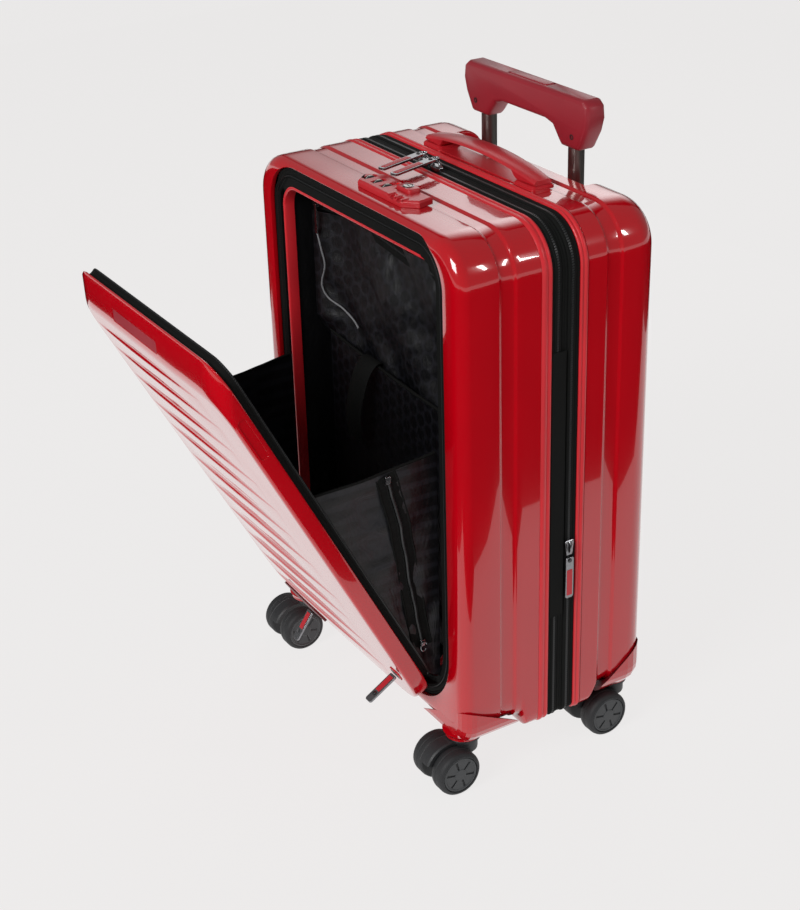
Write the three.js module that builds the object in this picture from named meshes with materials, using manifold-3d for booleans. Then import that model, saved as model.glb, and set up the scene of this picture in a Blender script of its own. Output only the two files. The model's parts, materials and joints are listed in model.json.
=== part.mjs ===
// Cabin trolley case: two ribbed hard shells joined by a zipped band that expands,
// a lid over the front pocket, a pull-out handle and four twin-wheel casters.
// Millimetres, +Z up, the lid faces -Y, and the two halves hinge along the +X side.
// Everything is placed about the middle of the case with the floor at z = 0, and
// the whole group is then moved so that its box is centred over the origin.
import * as THREE from "three";
import { mergeVertices } from "three/addons/utils/BufferGeometryUtils.js";
import Module from "manifold-3d";

const wasm = await Module();
wasm.setup();

// ---- driving dimensions ----
const HALF_WIDTH = 178;
const TOP = 545;
const BASE = 57;
const FRONT = -103;
const REAR = 111;
const TOP_RADIUS = 42;
const BOTTOM_RADIUS = 22;
const BELLY_DROP = 9.5; // between its casters the case hangs lower than over them
const BELLY_RADIUS = 10;
const FRONT_BELLY = [-38, -31]; // where the drop starts and where it is complete
const REAR_BELLY = [41, 57]; // where it starts to rise again and where it is back
const CORNER_STEPS = 6;
const WALL = 4;
const GAP = 0.3; // between pieces that touch

// places along Y where one part of the case ends and the next begins
const FRONT_TRIM = [-18.5, -7.5];
const FRONT_TAPE = [-7.2, -1.2];
const ZIP_PLANE = -1;
const MIDDLE_BAND = [-0.8, 13.8];
const REAR_TAPE = [14.2, 22];
const REAR_TRIM = [22.3, 30.5];
const TAPE_INSET = 0.8;
const TAPE_THICKNESS = 2.4;

// shallow channel that runs over both shells, parallel to the band
const CHANNEL_DEPTH = 2;
const CHANNEL_SLOPE = 3;
const FRONT_CHANNEL = [-62.5, -43.5];
const REAR_CHANNEL = [50, 69];
const FRONT_EDGE_RADIUS = 13;
const REAR_EDGE_RADIUS = 24;

// pocket opening in the front face
const OPENING_HALF_WIDTH = 152.9;
const OPENING_LOW = 71;
const OPENING_HIGH = 540;
const OPENING_RADIUS = 42;
const OPENING_TAPE = { width: 16.6, step: 10.4, front: FRONT + WALL + GAP, back: -90.6, thickness: 1.4 };
const INNER_FRAME = [-98.9, -88];
const INNER_FRAME_WIDTH = 3.5;
const INNER_FRAME_DROP = 1.8; // the frame's top and foot move in, so that it fits inside the lid's tape
const INNER_FRAME_LIFT = 8.5;
const POCKET_BACK = -46;
const LINING_THICKNESS = 1.4;

// lid over the opening, hinged along its lower edge and held open by its gussets
const LID_ANGLE = THREE.MathUtils.degToRad(27.1);
const LID_HINGE = { y: -102, z: 78 };
const LID_HALF_WIDTH = 147;
const LID_FOOT = 2;
const LID_LENGTH = 453;
const LID_THICKNESS = 16.5;
const LID_RADIUS = 30;
const LID_WALL = 3;
const LID_CREASE = 424; // the face stops here and a bevelled band runs on up to the rim
const LID_TAPE_DEPTH = 8.2;
const GUSSET_X = 133;
const GUSSET_REACH = { case: 266, lid: 288 }; // up the case and along the lid, from the hinge

// pull-out handle
const TUBE_X = 70;
const TUBE_Y = 96;
const GRIP_TOP = 618; // as the handle stands part way out
const GRIP_LEG_LOW = 570;
const GRIP_HALF_LENGTH = 99;
const GRIP_DEPTH = 22;
const HOUSING = { halfWidth: 104, front: 80, floor: 495 };
const TUBES = {
  socket: { outer: 10.7, bore: 9.6, low: 84, high: HOUSING.floor - 0.1 },
  stage: { outer: 9.2, bore: 7.9, low: 92, high: 498.6 },
  inner: { outer: 7.5, bore: 6.2, low: 148, high: GRIP_LEG_LOW - GAP },
};
const GRIP_BUTTON = { halfLength: 30, halfWidth: 6, low: GRIP_TOP - 5, high: GRIP_TOP + 0.8 };

// carry handle on top of the rear half
const CARRY = { y: 45, depth: 24, halfLength: 90, footTop: 549, rise: 9, postX: 77, postRadius: 4 };

// combination lock on top of the front half
const LOCK = { x: 22, y: -70, halfLength: 49, halfWidth: 14, low: TOP + GAP, high: 551.5 };
const DIAL_X = [-15, 0, 15];
const DIAL = { y: -71, z: 546.7, radius: 6, width: 5 };
const LOCK_BUTTON = { x: 38, y: -63, halfLength: 11.5, halfWidth: 6.5, high: 555 };

// sliders and pullers
const MAIN_SLIDER_X = [-34, -13];
const PULLER_YAW = THREE.MathUtils.degToRad(18);
const MAIN_PULLER = { length: 56, width: 8.6, thickness: 2.2, z: 555.4 };
const SIDE_SLIDER = { y: 14, z: 232 };
const SIDE_PULLER = { length: 43, width: 9, thickness: 2.4 };
const LID_PULLER = { length: 34, width: 9, thickness: 2.4 };
const LID_PULLER_STANDOFF = 2.6;
const LID_PULLER_LEFT = { x: -77, s: 12, lean: 35 }; // lean is from upright, in degrees
const LID_PULLER_RIGHT = { x: 124, s: 57, lean: 59 };

// casters
const CASTER_X = 152;
const CASTER_Y = [-87.5, 86.8];
const TRAIL = 19.5;
const WHEEL = { radius: 23, inner: 8.5, outer: 26, axle: 3, bore: 3.3 };
const BUMPER_BASE = 50;
const BUMPER_GROWTH = 2.5;
// height at the corner, how fast the upper edge falls away from there, and how far the cap reaches
const FRONT_BUMPER = { corner: 91, fall: { x: 0.48, y: 0.5 }, reach: { x: 78, y: 64.5 } };
const REAR_BUMPER = { corner: 102, fall: { x: 0.6, y: 0.75 }, reach: { x: 78, y: 53.5 } };

// ---- materials ----
function material(color, roughness, metalness = 0) {
  return new THREE.MeshStandardMaterial({ color, roughness, metalness });
}
const glossRed = material(0xb0001c, 0.08);
const satinRed = material(0xc83238, 0.35);
const gripRed = material(0x8c2c36, 0.42);
const blackTape = material(0x1d1e1d, 0.85);
const blackLining = material(0x141416, 0.55);
const blackPlastic = material(0x26272a, 0.5);
const tubeGrey = material(0x55585a, 0.3, 0.9);
const zipMetal = material(0x8d8d90, 0.25, 1);
const dialWhite = material(0xe4e0da, 0.4);

// ---- solids ----
function toManifold(geometry) {
  const bare = geometry.clone();
  bare.deleteAttribute("normal");
  bare.deleteAttribute("uv");
  const merged = mergeVertices(bare, 1e-4);
  const mesh = new wasm.Mesh({
    numProp: 3,
    vertProperties: new Float32Array(merged.attributes.position.array),
    triVerts: new Uint32Array(merged.index.array),
  });
  mesh.merge();
  return new wasm.Manifold(mesh);
}

function toGeometry(manifold) {
  const mesh = manifold.getMesh();
  const geometry = new THREE.BufferGeometry();
  geometry.setAttribute("position", new THREE.BufferAttribute(mesh.vertProperties, 3));
  geometry.setIndex(new THREE.BufferAttribute(mesh.triVerts, 1));
  geometry.computeVertexNormals();
  return geometry;
}

function combine(base, { add = [], subtract = [], intersect = [] }) {
  let result = toManifold(base);
  for (const geometry of add) {
    result = result.add(toManifold(geometry));
  }
  for (const geometry of intersect) {
    result = result.intersect(toManifold(geometry));
  }
  for (const geometry of subtract) {
    result = result.subtract(toManifold(geometry));
  }
  return toGeometry(result);
}

// a box given by its lowest and highest corners
function block([x0, y0, z0], [x1, y1, z1]) {
  const geometry = new THREE.BoxGeometry(x1 - x0, y1 - y0, z1 - z0);
  return geometry.translate((x0 + x1) / 2, (y0 + y1) / 2, (z0 + z1) / 2);
}

function cylinderZ(radius, low, high, x, y, segments = 20) {
  const geometry = new THREE.CylinderGeometry(radius, radius, high - low, segments);
  return geometry.rotateX(Math.PI / 2).translate(x, y, (low + high) / 2);
}

function cylinderX(radius, low, high, y, z, segments = 20) {
  const geometry = new THREE.CylinderGeometry(radius, radius, high - low, segments);
  return geometry.rotateZ(Math.PI / 2).translate((low + high) / 2, y, z);
}

// rounded rectangle in X and Z, anticlockwise as seen from the front
function roundedOutline(halfWidth, low, high, topRadius, bottomRadius, steps = CORNER_STEPS) {
  const corners = [
    [halfWidth - bottomRadius, low + bottomRadius, bottomRadius, -0.5],
    [halfWidth - topRadius, high - topRadius, topRadius, 0],
    [-halfWidth + topRadius, high - topRadius, topRadius, 0.5],
    [-halfWidth + bottomRadius, low + bottomRadius, bottomRadius, 1],
  ];
  const points = [];
  for (const [x, z, radius, start] of corners) {
    for (let i = 0; i <= steps; i++) {
      const angle = Math.PI * (start + (0.5 * i) / steps);
      points.push(new THREE.Vector2(x + radius * Math.cos(angle), z + radius * Math.sin(angle)));
    }
  }
  return points;
}

// how far the underside has dropped at a depth: 0 over the casters, 1 between them
function bellyAt(y) {
  const drop = (y - FRONT_BELLY[0]) / (FRONT_BELLY[1] - FRONT_BELLY[0]);
  const rise = (REAR_BELLY[1] - y) / (REAR_BELLY[1] - REAR_BELLY[0]);
  return THREE.MathUtils.clamp(Math.min(drop, rise), 0, 1);
}

function caseOutline(inset, { base = BASE, belly = 0 } = {}) {
  const bottomRadius = BOTTOM_RADIUS - belly * (BOTTOM_RADIUS - BELLY_RADIUS);
  return roundedOutline(
    HALF_WIDTH - inset,
    base - belly * BELLY_DROP + inset,
    TOP - inset,
    TOP_RADIUS - inset,
    Math.max(bottomRadius - inset, 4),
  );
}

function openingOutline(inset, { low = OPENING_LOW, high = OPENING_HIGH } = {}) {
  return roundedOutline(
    OPENING_HALF_WIDTH - inset,
    low + inset,
    high - inset,
    OPENING_RADIUS - inset,
    OPENING_RADIUS - inset,
  );
}

function lidOutline(inset, { low = LID_FOOT, high = LID_LENGTH } = {}) {
  const radius = LID_RADIUS - inset;
  return roundedOutline(LID_HALF_WIDTH - inset, low + inset, high - inset, radius, radius);
}

// solid through outlines that have the same number of points, in order of rising y
function loft(sections) {
  const positions = [];
  const index = [];
  const count = sections[0].outline.length;
  for (const { y, outline } of sections) {
    for (const point of outline) {
      positions.push(point.x, y, point.y);
    }
  }
  for (let s = 0; s + 1 < sections.length; s++) {
    for (let i = 0; i < count; i++) {
      const a = s * count + i;
      const b = s * count + ((i + 1) % count);
      index.push(a, a + count, b, b, a + count, b + count);
    }
  }
  const last = (sections.length - 1) * count;
  for (let i = 1; i + 1 < count; i++) {
    index.push(0, i, i + 1);
    index.push(last, last + i + 1, last + i);
  }
  const geometry = new THREE.BufferGeometry();
  geometry.setAttribute("position", new THREE.Float32BufferAttribute(positions, 3));
  geometry.setIndex(index);
  return geometry;
}

// an outline in X and Z, with an optional hole, made thick along Y
function plate(outline, [low, high], hole = null) {
  const shape = new THREE.Shape(outline);
  if (hole) {
    shape.holes.push(new THREE.Path(hole));
  }
  const geometry = new THREE.ExtrudeGeometry(shape, { depth: high - low, bevelEnabled: false });
  return geometry.rotateX(Math.PI / 2).translate(0, high, 0);
}

// an outline in Y and Z made thick along X
function sidePlate(points, [low, high]) {
  const shape = new THREE.Shape(points.map(([y, z]) => new THREE.Vector2(y, z)));
  const geometry = new THREE.ExtrudeGeometry(shape, { depth: high - low, bevelEnabled: false });
  return geometry.rotateY(Math.PI / 2).rotateX(Math.PI / 2).translate(low, 0, 0);
}

function piece(name, geometry, look) {
  const mesh = new THREE.Mesh(geometry, look);
  mesh.name = name;
  return mesh;
}

// ---- shells ----
// [y, inset] pairs for the quarter-round edge of a shell, from its flat side to its face,
// either of its outside or of the inside face one wall thickness in
function edgeRound(face, radius, outward, steps, wall = 0) {
  const stations = [];
  for (let i = 1; i <= steps; i++) {
    const angle = (Math.PI / 2) * (i / steps);
    const y = face - outward * radius + outward * (radius - wall) * Math.sin(angle);
    stations.push([y, radius - (radius - wall) * Math.cos(angle)]);
  }
  return stations;
}

function channel([low, high]) {
  return [
    [low, 0],
    [low + CHANNEL_SLOPE, CHANNEL_DEPTH],
    [high - CHANNEL_SLOPE, CHANNEL_DEPTH],
    [high, 0],
  ];
}

const frontStations = [
  ...edgeRound(FRONT, FRONT_EDGE_RADIUS, -1, 4).reverse(),
  [FRONT + FRONT_EDGE_RADIUS, 0],
  ...channel(FRONT_CHANNEL),
  [FRONT_BELLY[0], 0],
  [FRONT_BELLY[1], 0],
  [FRONT_TRIM[0] - GAP, 0],
];
const rearStations = [
  [REAR_TRIM[1] + GAP, 0],
  [REAR_BELLY[0], 0],
  ...channel(REAR_CHANNEL).slice(0, 2),
  [REAR_BELLY[1], CHANNEL_DEPTH],
  ...channel(REAR_CHANNEL).slice(2),
  [REAR - REAR_EDGE_RADIUS, 0],
  ...edgeRound(REAR, REAR_EDGE_RADIUS, 1, 5),
];

// the outside of a shell, grown or shrunk, without its channel when plain is set
function envelope(stations, { grow = 0, base = BASE, plain = false } = {}) {
  const sections = stations.map(([y, inset]) => {
    const flat = plain && inset === CHANNEL_DEPTH ? 0 : inset;
    return { y, outline: caseOutline(flat - grow, { base, belly: bellyAt(y) }) };
  });
  return loft(sections);
}

// the room inside a shell, open towards the band
function innerSpace(mouth, face, radius, outward, steps) {
  const belly = outward > 0 ? REAR_BELLY : [...FRONT_BELLY].reverse();
  const stations = [
    [mouth - outward, WALL],
    ...belly.map((y) => [y, WALL]),
    [face - outward * radius, WALL],
    ...edgeRound(face, radius, outward, steps, WALL),
  ];
  const sections = stations.map(([y, inset]) => ({
    y,
    outline: caseOutline(inset, { belly: bellyAt(y) }),
  }));
  return loft(outward > 0 ? sections : sections.reverse());
}

function frontShell() {
  const opening = plate(openingOutline(0), [FRONT - 1, FRONT + 25]);
  const dialWindow = block(
    [DIAL_X[0] - 5, DIAL.y - 8, TOP - 10],
    [DIAL_X[2] + 5, DIAL.y + 8, TOP + 1],
  );
  const shell = combine(envelope(frontStations), {
    subtract: [innerSpace(FRONT_TRIM[0] - GAP, FRONT, FRONT_EDGE_RADIUS, -1, 4), opening, dialWindow],
  });
  return piece("front_shell", shell, glossRed);
}

function rearShell() {
  const recess = block(
    [-HOUSING.halfWidth, HOUSING.front, HOUSING.floor],
    [HOUSING.halfWidth, REAR + 1, TOP + 1],
  );
  const postHoles = [-1, 1].map((side) =>
    cylinderZ(CARRY.postRadius + 0.5, TOP - 8, TOP + 1, side * CARRY.postX, CARRY.y, 12),
  );
  const shell = combine(envelope(rearStations), {
    subtract: [innerSpace(REAR_TRIM[1] + GAP, REAR, REAR_EDGE_RADIUS, 1, 5), recess, ...postHoles],
  });
  return piece("rear_shell", shell, glossRed);
}

// a ring that follows the outline of the case
function caseRing(name, span, outerInset, thickness, look) {
  const outer = caseOutline(outerInset, { belly: 1 });
  const ring = plate(outer, span, caseOutline(outerInset + thickness, { belly: 1 }));
  return piece(name, ring, look);
}

function expansionGusset() {
  const inset = WALL + 0.5;
  return caseRing("expansion_gusset", [ZIP_PLANE + 2, REAR_TRIM[1] + 9], inset, 1.1, blackTape);
}

// fabric strip over the band that joins the two halves on the hinge side
function hingeStrip() {
  const x = HALF_WIDTH - TAPE_INSET + GAP;
  const strip = block([x, -7, 162], [x + 1.2, 8.5, 430]);
  return piece("hinge_strip", strip, blackTape);
}

// ---- inside the front half ----
// stepped tape: flush behind the shell, then set back to leave room for the lid's tape
function openingTape() {
  const { width, step, front, back, thickness } = OPENING_TAPE;
  const riser = step - 1.2;
  const flush = plate(openingOutline(GAP), [front, front + thickness], openingOutline(step));
  const wall = plate(openingOutline(riser), [front, back], openingOutline(step));
  const setBack = plate(openingOutline(riser), [back - thickness, back], openingOutline(width));
  return piece("opening_tape", combine(flush, { add: [wall, setBack] }), blackTape);
}

function innerFrame() {
  const outer = OPENING_TAPE.width + GAP;
  const reach = { low: OPENING_LOW + INNER_FRAME_LIFT, high: OPENING_HIGH - INNER_FRAME_DROP };
  const inside = openingOutline(outer + INNER_FRAME_WIDTH, reach);
  const ring = plate(openingOutline(outer, reach), INNER_FRAME, inside);
  return piece("inner_frame", ring, satinRed);
}

function pocketLiner() {
  const outer = OPENING_TAPE.width + GAP;
  const mouth = INNER_FRAME[1] + GAP;
  const cup = combine(plate(openingOutline(outer), [mouth, POCKET_BACK]), {
    subtract: [
      plate(openingOutline(outer + LINING_THICKNESS), [mouth - 1, POCKET_BACK - LINING_THICKNESS]),
    ],
  });
  return piece("pocket_liner", cup, blackLining);
}

function laptopSleeve() {
  const back = POCKET_BACK - LINING_THICKNESS - GAP;
  const front = back - 17;
  const [low, high] = [100, 354];
  const sleeve = combine(block([-120, front, low], [120, back, high]), {
    subtract: [block([-116, front + 3.5, low + 5], [116, back - 3.5, high + 1])],
  });
  return piece("laptop_sleeve", sleeve, blackLining);
}

function dividerPanel() {
  const back = POCKET_BACK + GAP;
  const panel = plate(caseOutline(WALL + 2.5), [back, back + LINING_THICKNESS]);
  return piece("divider_panel", panel, blackLining);
}

function rearLining() {
  const [mouth, back] = [42, HOUSING.front - 0.4];
  const inset = WALL + 3;
  const cup = combine(plate(caseOutline(inset), [mouth, back]), {
    subtract: [
      plate(caseOutline(inset + LINING_THICKNESS), [mouth - 1, back - LINING_THICKNESS]),
    ],
  });
  return piece("rear_lining", cup, blackLining);
}

// ---- lid ----
// local frame: x across, z up the lid from the hinge line, and -y out of its face
function lidPanel() {
  const face = -LID_THICKNESS;
  const outside = loft([
    { y: face, outline: lidOutline(2.2, { high: LID_CREASE }) },
    { y: face + 2.4, outline: lidOutline(0.2, { high: LID_CREASE + 3 }) },
    { y: -2.5, outline: lidOutline(0) },
    { y: 0, outline: lidOutline(0) },
  ]);
  const tray = loft([
    { y: face + LID_WALL, outline: lidOutline(LID_WALL, { high: LID_CREASE }) },
    { y: 1, outline: lidOutline(LID_WALL, { high: LID_LENGTH - 1 }) },
  ]);
  const slots = [LID_PULLER_LEFT, LID_PULLER_RIGHT].map(({ x, s }) =>
    block([x - 7, face - 1, s - 5], [x + 7, face + 1.8, s + 5]),
  );
  return piece("lid_panel", combine(outside, { subtract: [tray, ...slots] }), glossRed);
}

function lidLining() {
  const lining = plate(lidOutline(LID_WALL + 0.4, { high: LID_LENGTH - 8 }), [-2.4, -1]);
  return piece("lid_lining", lining, blackLining);
}

function lidTape() {
  const low = LID_FOOT + 6;
  const high = LID_LENGTH + 1; // close to the rim at the top, so that it shuts round the inner frame
  const tape = plate(
    lidOutline(6, { low, high }),
    [GAP, GAP + LID_TAPE_DEPTH],
    lidOutline(7.8, { low, high }),
  );
  return piece("lid_tape", tape, blackTape);
}

function flatPuller(name, { length, width, thickness }) {
  const geometry = block([-width / 2, -thickness / 2, -length], [width / 2, thickness / 2, 0]);
  return piece(name, geometry, zipMetal);
}

// a puller stands off the face of the lid and leans out of its slot
function lidPuller(name, { x, s, lean }) {
  const puller = flatPuller(name, LID_PULLER);
  puller.position.set(x, -LID_THICKNESS - LID_PULLER_STANDOFF, s);
  puller.rotation.x = -LID_ANGLE - THREE.MathUtils.degToRad(lean);
  return puller;
}

function lid() {
  const group = new THREE.Group();
  group.position.set(0, LID_HINGE.y, LID_HINGE.z);
  group.rotation.x = LID_ANGLE;
  group.add(lidPanel(), lidLining(), lidTape());
  group.add(lidPuller("lid_puller_left", LID_PULLER_LEFT));
  group.add(lidPuller("lid_puller_right", LID_PULLER_RIGHT));
  return group;
}

// fabric triangle between the case and the open lid
function gusset(side) {
  const thickness = 1.4;
  const clear = 1.2;
  const foot = 30;
  const caseLine = FRONT + WALL - clear;
  const alongLid = (s) => [
    LID_HINGE.y - s * Math.sin(LID_ANGLE) + (clear + 1) * Math.cos(LID_ANGLE),
    LID_HINGE.z + s * Math.cos(LID_ANGLE) + (clear + 1) * Math.sin(LID_ANGLE),
  ];
  const outline = [
    [caseLine, LID_HINGE.z + foot],
    [caseLine, LID_HINGE.z + GUSSET_REACH.case],
    alongLid(GUSSET_REACH.lid),
    alongLid(foot + 18),
  ];
  const low = side < 0 ? -GUSSET_X - thickness : GUSSET_X;
  const geometry = sidePlate(outline, [low, low + thickness]);
  return piece(side < 0 ? "gusset_left" : "gusset_right", geometry, blackLining);
}

// ---- pull-out handle ----
function housing() {
  const wall = 2.7;
  const outside = block(
    [-HOUSING.halfWidth + GAP, HOUSING.front + GAP, HOUSING.floor + GAP],
    [HOUSING.halfWidth - GAP, REAR + 1, TOP + 1],
  );
  const cavity = block(
    [-HOUSING.halfWidth + wall, HOUSING.front + wall, HOUSING.floor + wall],
    [HOUSING.halfWidth - wall, REAR + 2, TOP + 2],
  );
  const holes = [-1, 1].map((side) =>
    cylinderZ(TUBES.socket.bore, HOUSING.floor - 1, HOUSING.floor + 5, side * TUBE_X, TUBE_Y, 24),
  );
  const tray = combine(envelope(rearStations), {
    intersect: [outside],
    subtract: [cavity, ...holes],
  });
  return piece("trolley_housing", tray, satinRed);
}

function tube(name, side, { outer, bore, low, high }) {
  const profile = [
    [bore, low],
    [outer, low],
    [outer, high],
    [bore, high],
    [bore, low],
  ].map(([r, z]) => new THREE.Vector2(r, z));
  const geometry = new THREE.LatheGeometry(profile, 24).rotateX(Math.PI / 2);
  return piece(name, geometry.translate(side * TUBE_X, TUBE_Y, 0), tubeGrey);
}

function gripOutline() {
  const half = [
    [86, GRIP_TOP],
    [95, GRIP_TOP - 6],
    [GRIP_HALF_LENGTH, GRIP_TOP - 24],
    [90, GRIP_LEG_LOW + 4],
    [83, GRIP_LEG_LOW],
    [59, GRIP_LEG_LOW],
    [54, GRIP_LEG_LOW + 6],
    [46, GRIP_TOP - 32],
    [34, GRIP_TOP - 29],
  ];
  const right = half.map(([x, z]) => new THREE.Vector2(x, z));
  const left = half.map(([x, z]) => new THREE.Vector2(-x, z)).reverse();
  return [...right, ...left];
}

function grip() {
  const shape = new THREE.Shape(gripOutline());
  const bevel = 2.5;
  const bar = new THREE.ExtrudeGeometry(shape, {
    depth: GRIP_DEPTH - 2 * bevel,
    bevelThickness: bevel,
    bevelSize: bevel,
    bevelOffset: -bevel,
    bevelSegments: 1,
  });
  bar.rotateX(Math.PI / 2).translate(0, TUBE_Y + GRIP_DEPTH / 2 - bevel, 0);
  const { halfLength, halfWidth, low } = GRIP_BUTTON;
  const pocket = block(
    [-halfLength - 0.5, TUBE_Y - halfWidth - 0.5, low - 4],
    [halfLength + 0.5, TUBE_Y + halfWidth + 0.5, GRIP_TOP + 1],
  );
  return piece("grip", combine(bar, { subtract: [pocket] }), gripRed);
}

function gripButton() {
  const { halfLength, halfWidth, low, high } = GRIP_BUTTON;
  const button = block(
    [-halfLength, TUBE_Y - halfWidth, low],
    [halfLength, TUBE_Y + halfWidth, high],
  );
  return piece("grip_button", button, gripRed);
}

// ---- carry handle ----
function carryBase() {
  const { y, depth, halfLength, footTop, postX, postRadius } = CARRY;
  const [front, back] = [y - depth / 2, y + depth / 2];
  const feet = [-1, 1].map((side) =>
    block(
      [side > 0 ? 62 : -halfLength, front, TOP + GAP],
      [side > 0 ? halfLength : -62, back, footTop - GAP],
    ),
  );
  const holes = [-1, 1].map((side) =>
    cylinderZ(postRadius + 0.5, TOP - 1, footTop + 1, side * postX, y, 12),
  );
  const strap = block([-halfLength, front, TOP + GAP], [halfLength, back, TOP + 1.3]);
  return piece("carry_base", combine(strap, { add: feet, subtract: holes }), satinRed);
}

// arched bar whose two posts slide in the base
function carryHandle() {
  const { y, depth, halfLength, footTop, rise, postX, postRadius } = CARRY;
  const steps = 10;
  const thickness = 8;
  const top = [];
  const underside = [];
  for (let i = 0; i <= steps; i++) {
    const t = (2 * i) / steps - 1;
    const crown = rise * (1 - t * t);
    top.push(new THREE.Vector2(-t * halfLength, footTop + 4.5 + crown));
    underside.push(new THREE.Vector2(t * 60, footTop + thickness - 3 + crown - rise * (60 / 90) ** 2));
  }
  const outline = [
    new THREE.Vector2(-halfLength, footTop),
    new THREE.Vector2(-62, footTop),
    ...underside,
    new THREE.Vector2(62, footTop),
    new THREE.Vector2(halfLength, footTop),
    ...top,
  ];
  const bar = plate(outline, [y - depth / 2, y + depth / 2]);
  const posts = [-1, 1].map((side) =>
    cylinderZ(postRadius, TOP - 5.5, footTop + 2, side * postX, y, 12),
  );
  return piece("carry_handle", combine(bar, { add: posts }), satinRed);
}

// ---- combination lock ----
function lockBody() {
  const { x, y, halfLength, halfWidth, low, high } = LOCK;
  const nose = 12;
  const points = [
    [-halfLength, 0],
    [-halfLength + nose, -halfWidth],
    [halfLength - nose, -halfWidth],
    [halfLength, -halfWidth + nose],
    [halfLength - 4, halfWidth],
    [-halfLength + nose, halfWidth],
  ].map(([dx, dy]) => new THREE.Vector2(x + dx, y + dy));
  const body = new THREE.ExtrudeGeometry(new THREE.Shape(points), {
    depth: high - low,
    bevelEnabled: false,
  }).translate(0, 0, low);
  const dialSlots = DIAL_X.map((dialX) =>
    block([dialX - 3.2, DIAL.y - 6.8, low - 1], [dialX + 3.2, DIAL.y + 6.8, high + 1]),
  );
  const button = LOCK_BUTTON;
  const pocket = block(
    [button.x - button.halfLength - 0.5, button.y - button.halfWidth - 0.5, low + 1],
    [button.x + button.halfLength + 0.5, button.y + button.halfWidth + 0.5, high + 1],
  );
  const pullerSlots = [43, 54].map((slotX) =>
    block([slotX - 3, y - halfWidth - 1, high - 3], [slotX + 3, y - halfWidth + 6, high + 1]),
  );
  return piece(
    "lock_body",
    combine(body, { subtract: [...dialSlots, pocket, ...pullerSlots] }),
    satinRed,
  );
}

function lockDial(number) {
  const x = DIAL_X[number - 1];
  const half = DIAL.width / 2;
  const wheel = cylinderX(DIAL.radius, x - half, x + half, DIAL.y, DIAL.z, 20);
  return piece(`lock_dial_${number}`, wheel, dialWhite);
}

function lockButton() {
  const { x, y, halfLength, halfWidth, high } = LOCK_BUTTON;
  const button = block(
    [x - halfLength, y - halfWidth, LOCK.low + 3.5],
    [x + halfLength, y + halfWidth, high],
  );
  return piece("lock_button", button, satinRed);
}

// ---- sliders on the band ----
function mainSlider(name, x) {
  const low = TOP - TAPE_INSET + GAP;
  const body = block([-8, -5, 0], [8, 5, 5]);
  const bridge = block([-2, -4, 4], [2, 4, 9.5]);
  const slider = piece(name, combine(body, { add: [bridge] }), zipMetal);
  slider.position.set(x, ZIP_PLANE, low);
  return slider;
}

function mainPuller(name, x) {
  const { length, width, thickness, z } = MAIN_PULLER;
  const puller = flatPuller(name, { length, width, thickness });
  puller.position.set(x, ZIP_PLANE, z + thickness / 2);
  puller.rotation.set(-Math.PI / 2, 0, PULLER_YAW, "ZYX");
  puller.translateZ(-5.5);
  return puller;
}

function sideSlider() {
  const low = HALF_WIDTH - TAPE_INSET + GAP;
  const body = block([0, -5, -8], [3, 5, 8]);
  const slider = piece("expansion_slider", body, zipMetal);
  slider.position.set(low, SIDE_SLIDER.y, SIDE_SLIDER.z);
  return slider;
}

function sidePuller() {
  const puller = flatPuller("expansion_puller", SIDE_PULLER);
  const x = HALF_WIDTH - TAPE_INSET + 2;
  puller.rotation.z = Math.PI / 2;
  puller.position.set(x, SIDE_SLIDER.y, SIDE_SLIDER.z - 10.4);
  return puller;
}

// ---- corners and casters ----
function bumper(name, sideX, stations) {
  const front = stations === frontStations;
  const { corner, fall, reach } = front ? FRONT_BUMPER : REAR_BUMPER;
  const faceY = front ? FRONT : REAR;
  const inward = front ? 1 : -1;
  const overhang = 6;
  const apex = new THREE.Vector3(
    sideX * (HALF_WIDTH + overhang),
    faceY - inward * overhang,
    corner + overhang * (fall.x + fall.y),
  );
  const low = BUMPER_BASE;
  const farX = apex.x - sideX * ((apex.z - low) / fall.x);
  const farY = apex.y + inward * ((apex.z - low) / fall.y);
  const wedge = tetrahedron(
    apex,
    new THREE.Vector3(apex.x, apex.y, low),
    new THREE.Vector3(farX, apex.y, low),
    new THREE.Vector3(apex.x, farY, low),
  );
  const across = [sideX * 200, sideX * (HALF_WIDTH - reach.x)];
  const along = [faceY - inward * 20, faceY + inward * reach.y];
  const limit = block(
    [Math.min(...across), Math.min(...along), 0],
    [Math.max(...across), Math.max(...along), 200],
  );
  const shellSpace = envelope(stations, { grow: GAP, plain: true });
  const outer = envelope(stations, { grow: BUMPER_GROWTH, base: BUMPER_BASE, plain: true });
  const cap = combine(outer, { intersect: [wedge, limit], subtract: [shellSpace] });
  return piece(name, cap, satinRed);
}

function tetrahedron(a, b, c, d) {
  const geometry = new THREE.BufferGeometry().setFromPoints([a, b, c, d]);
  const sign = b.clone().sub(a).cross(c.clone().sub(a)).dot(d.clone().sub(a));
  const faces = [0, 1, 2, 0, 2, 3, 0, 3, 1, 1, 3, 2];
  geometry.setIndex(sign > 0 ? faces.reverse() : faces);
  return geometry;
}

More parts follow.
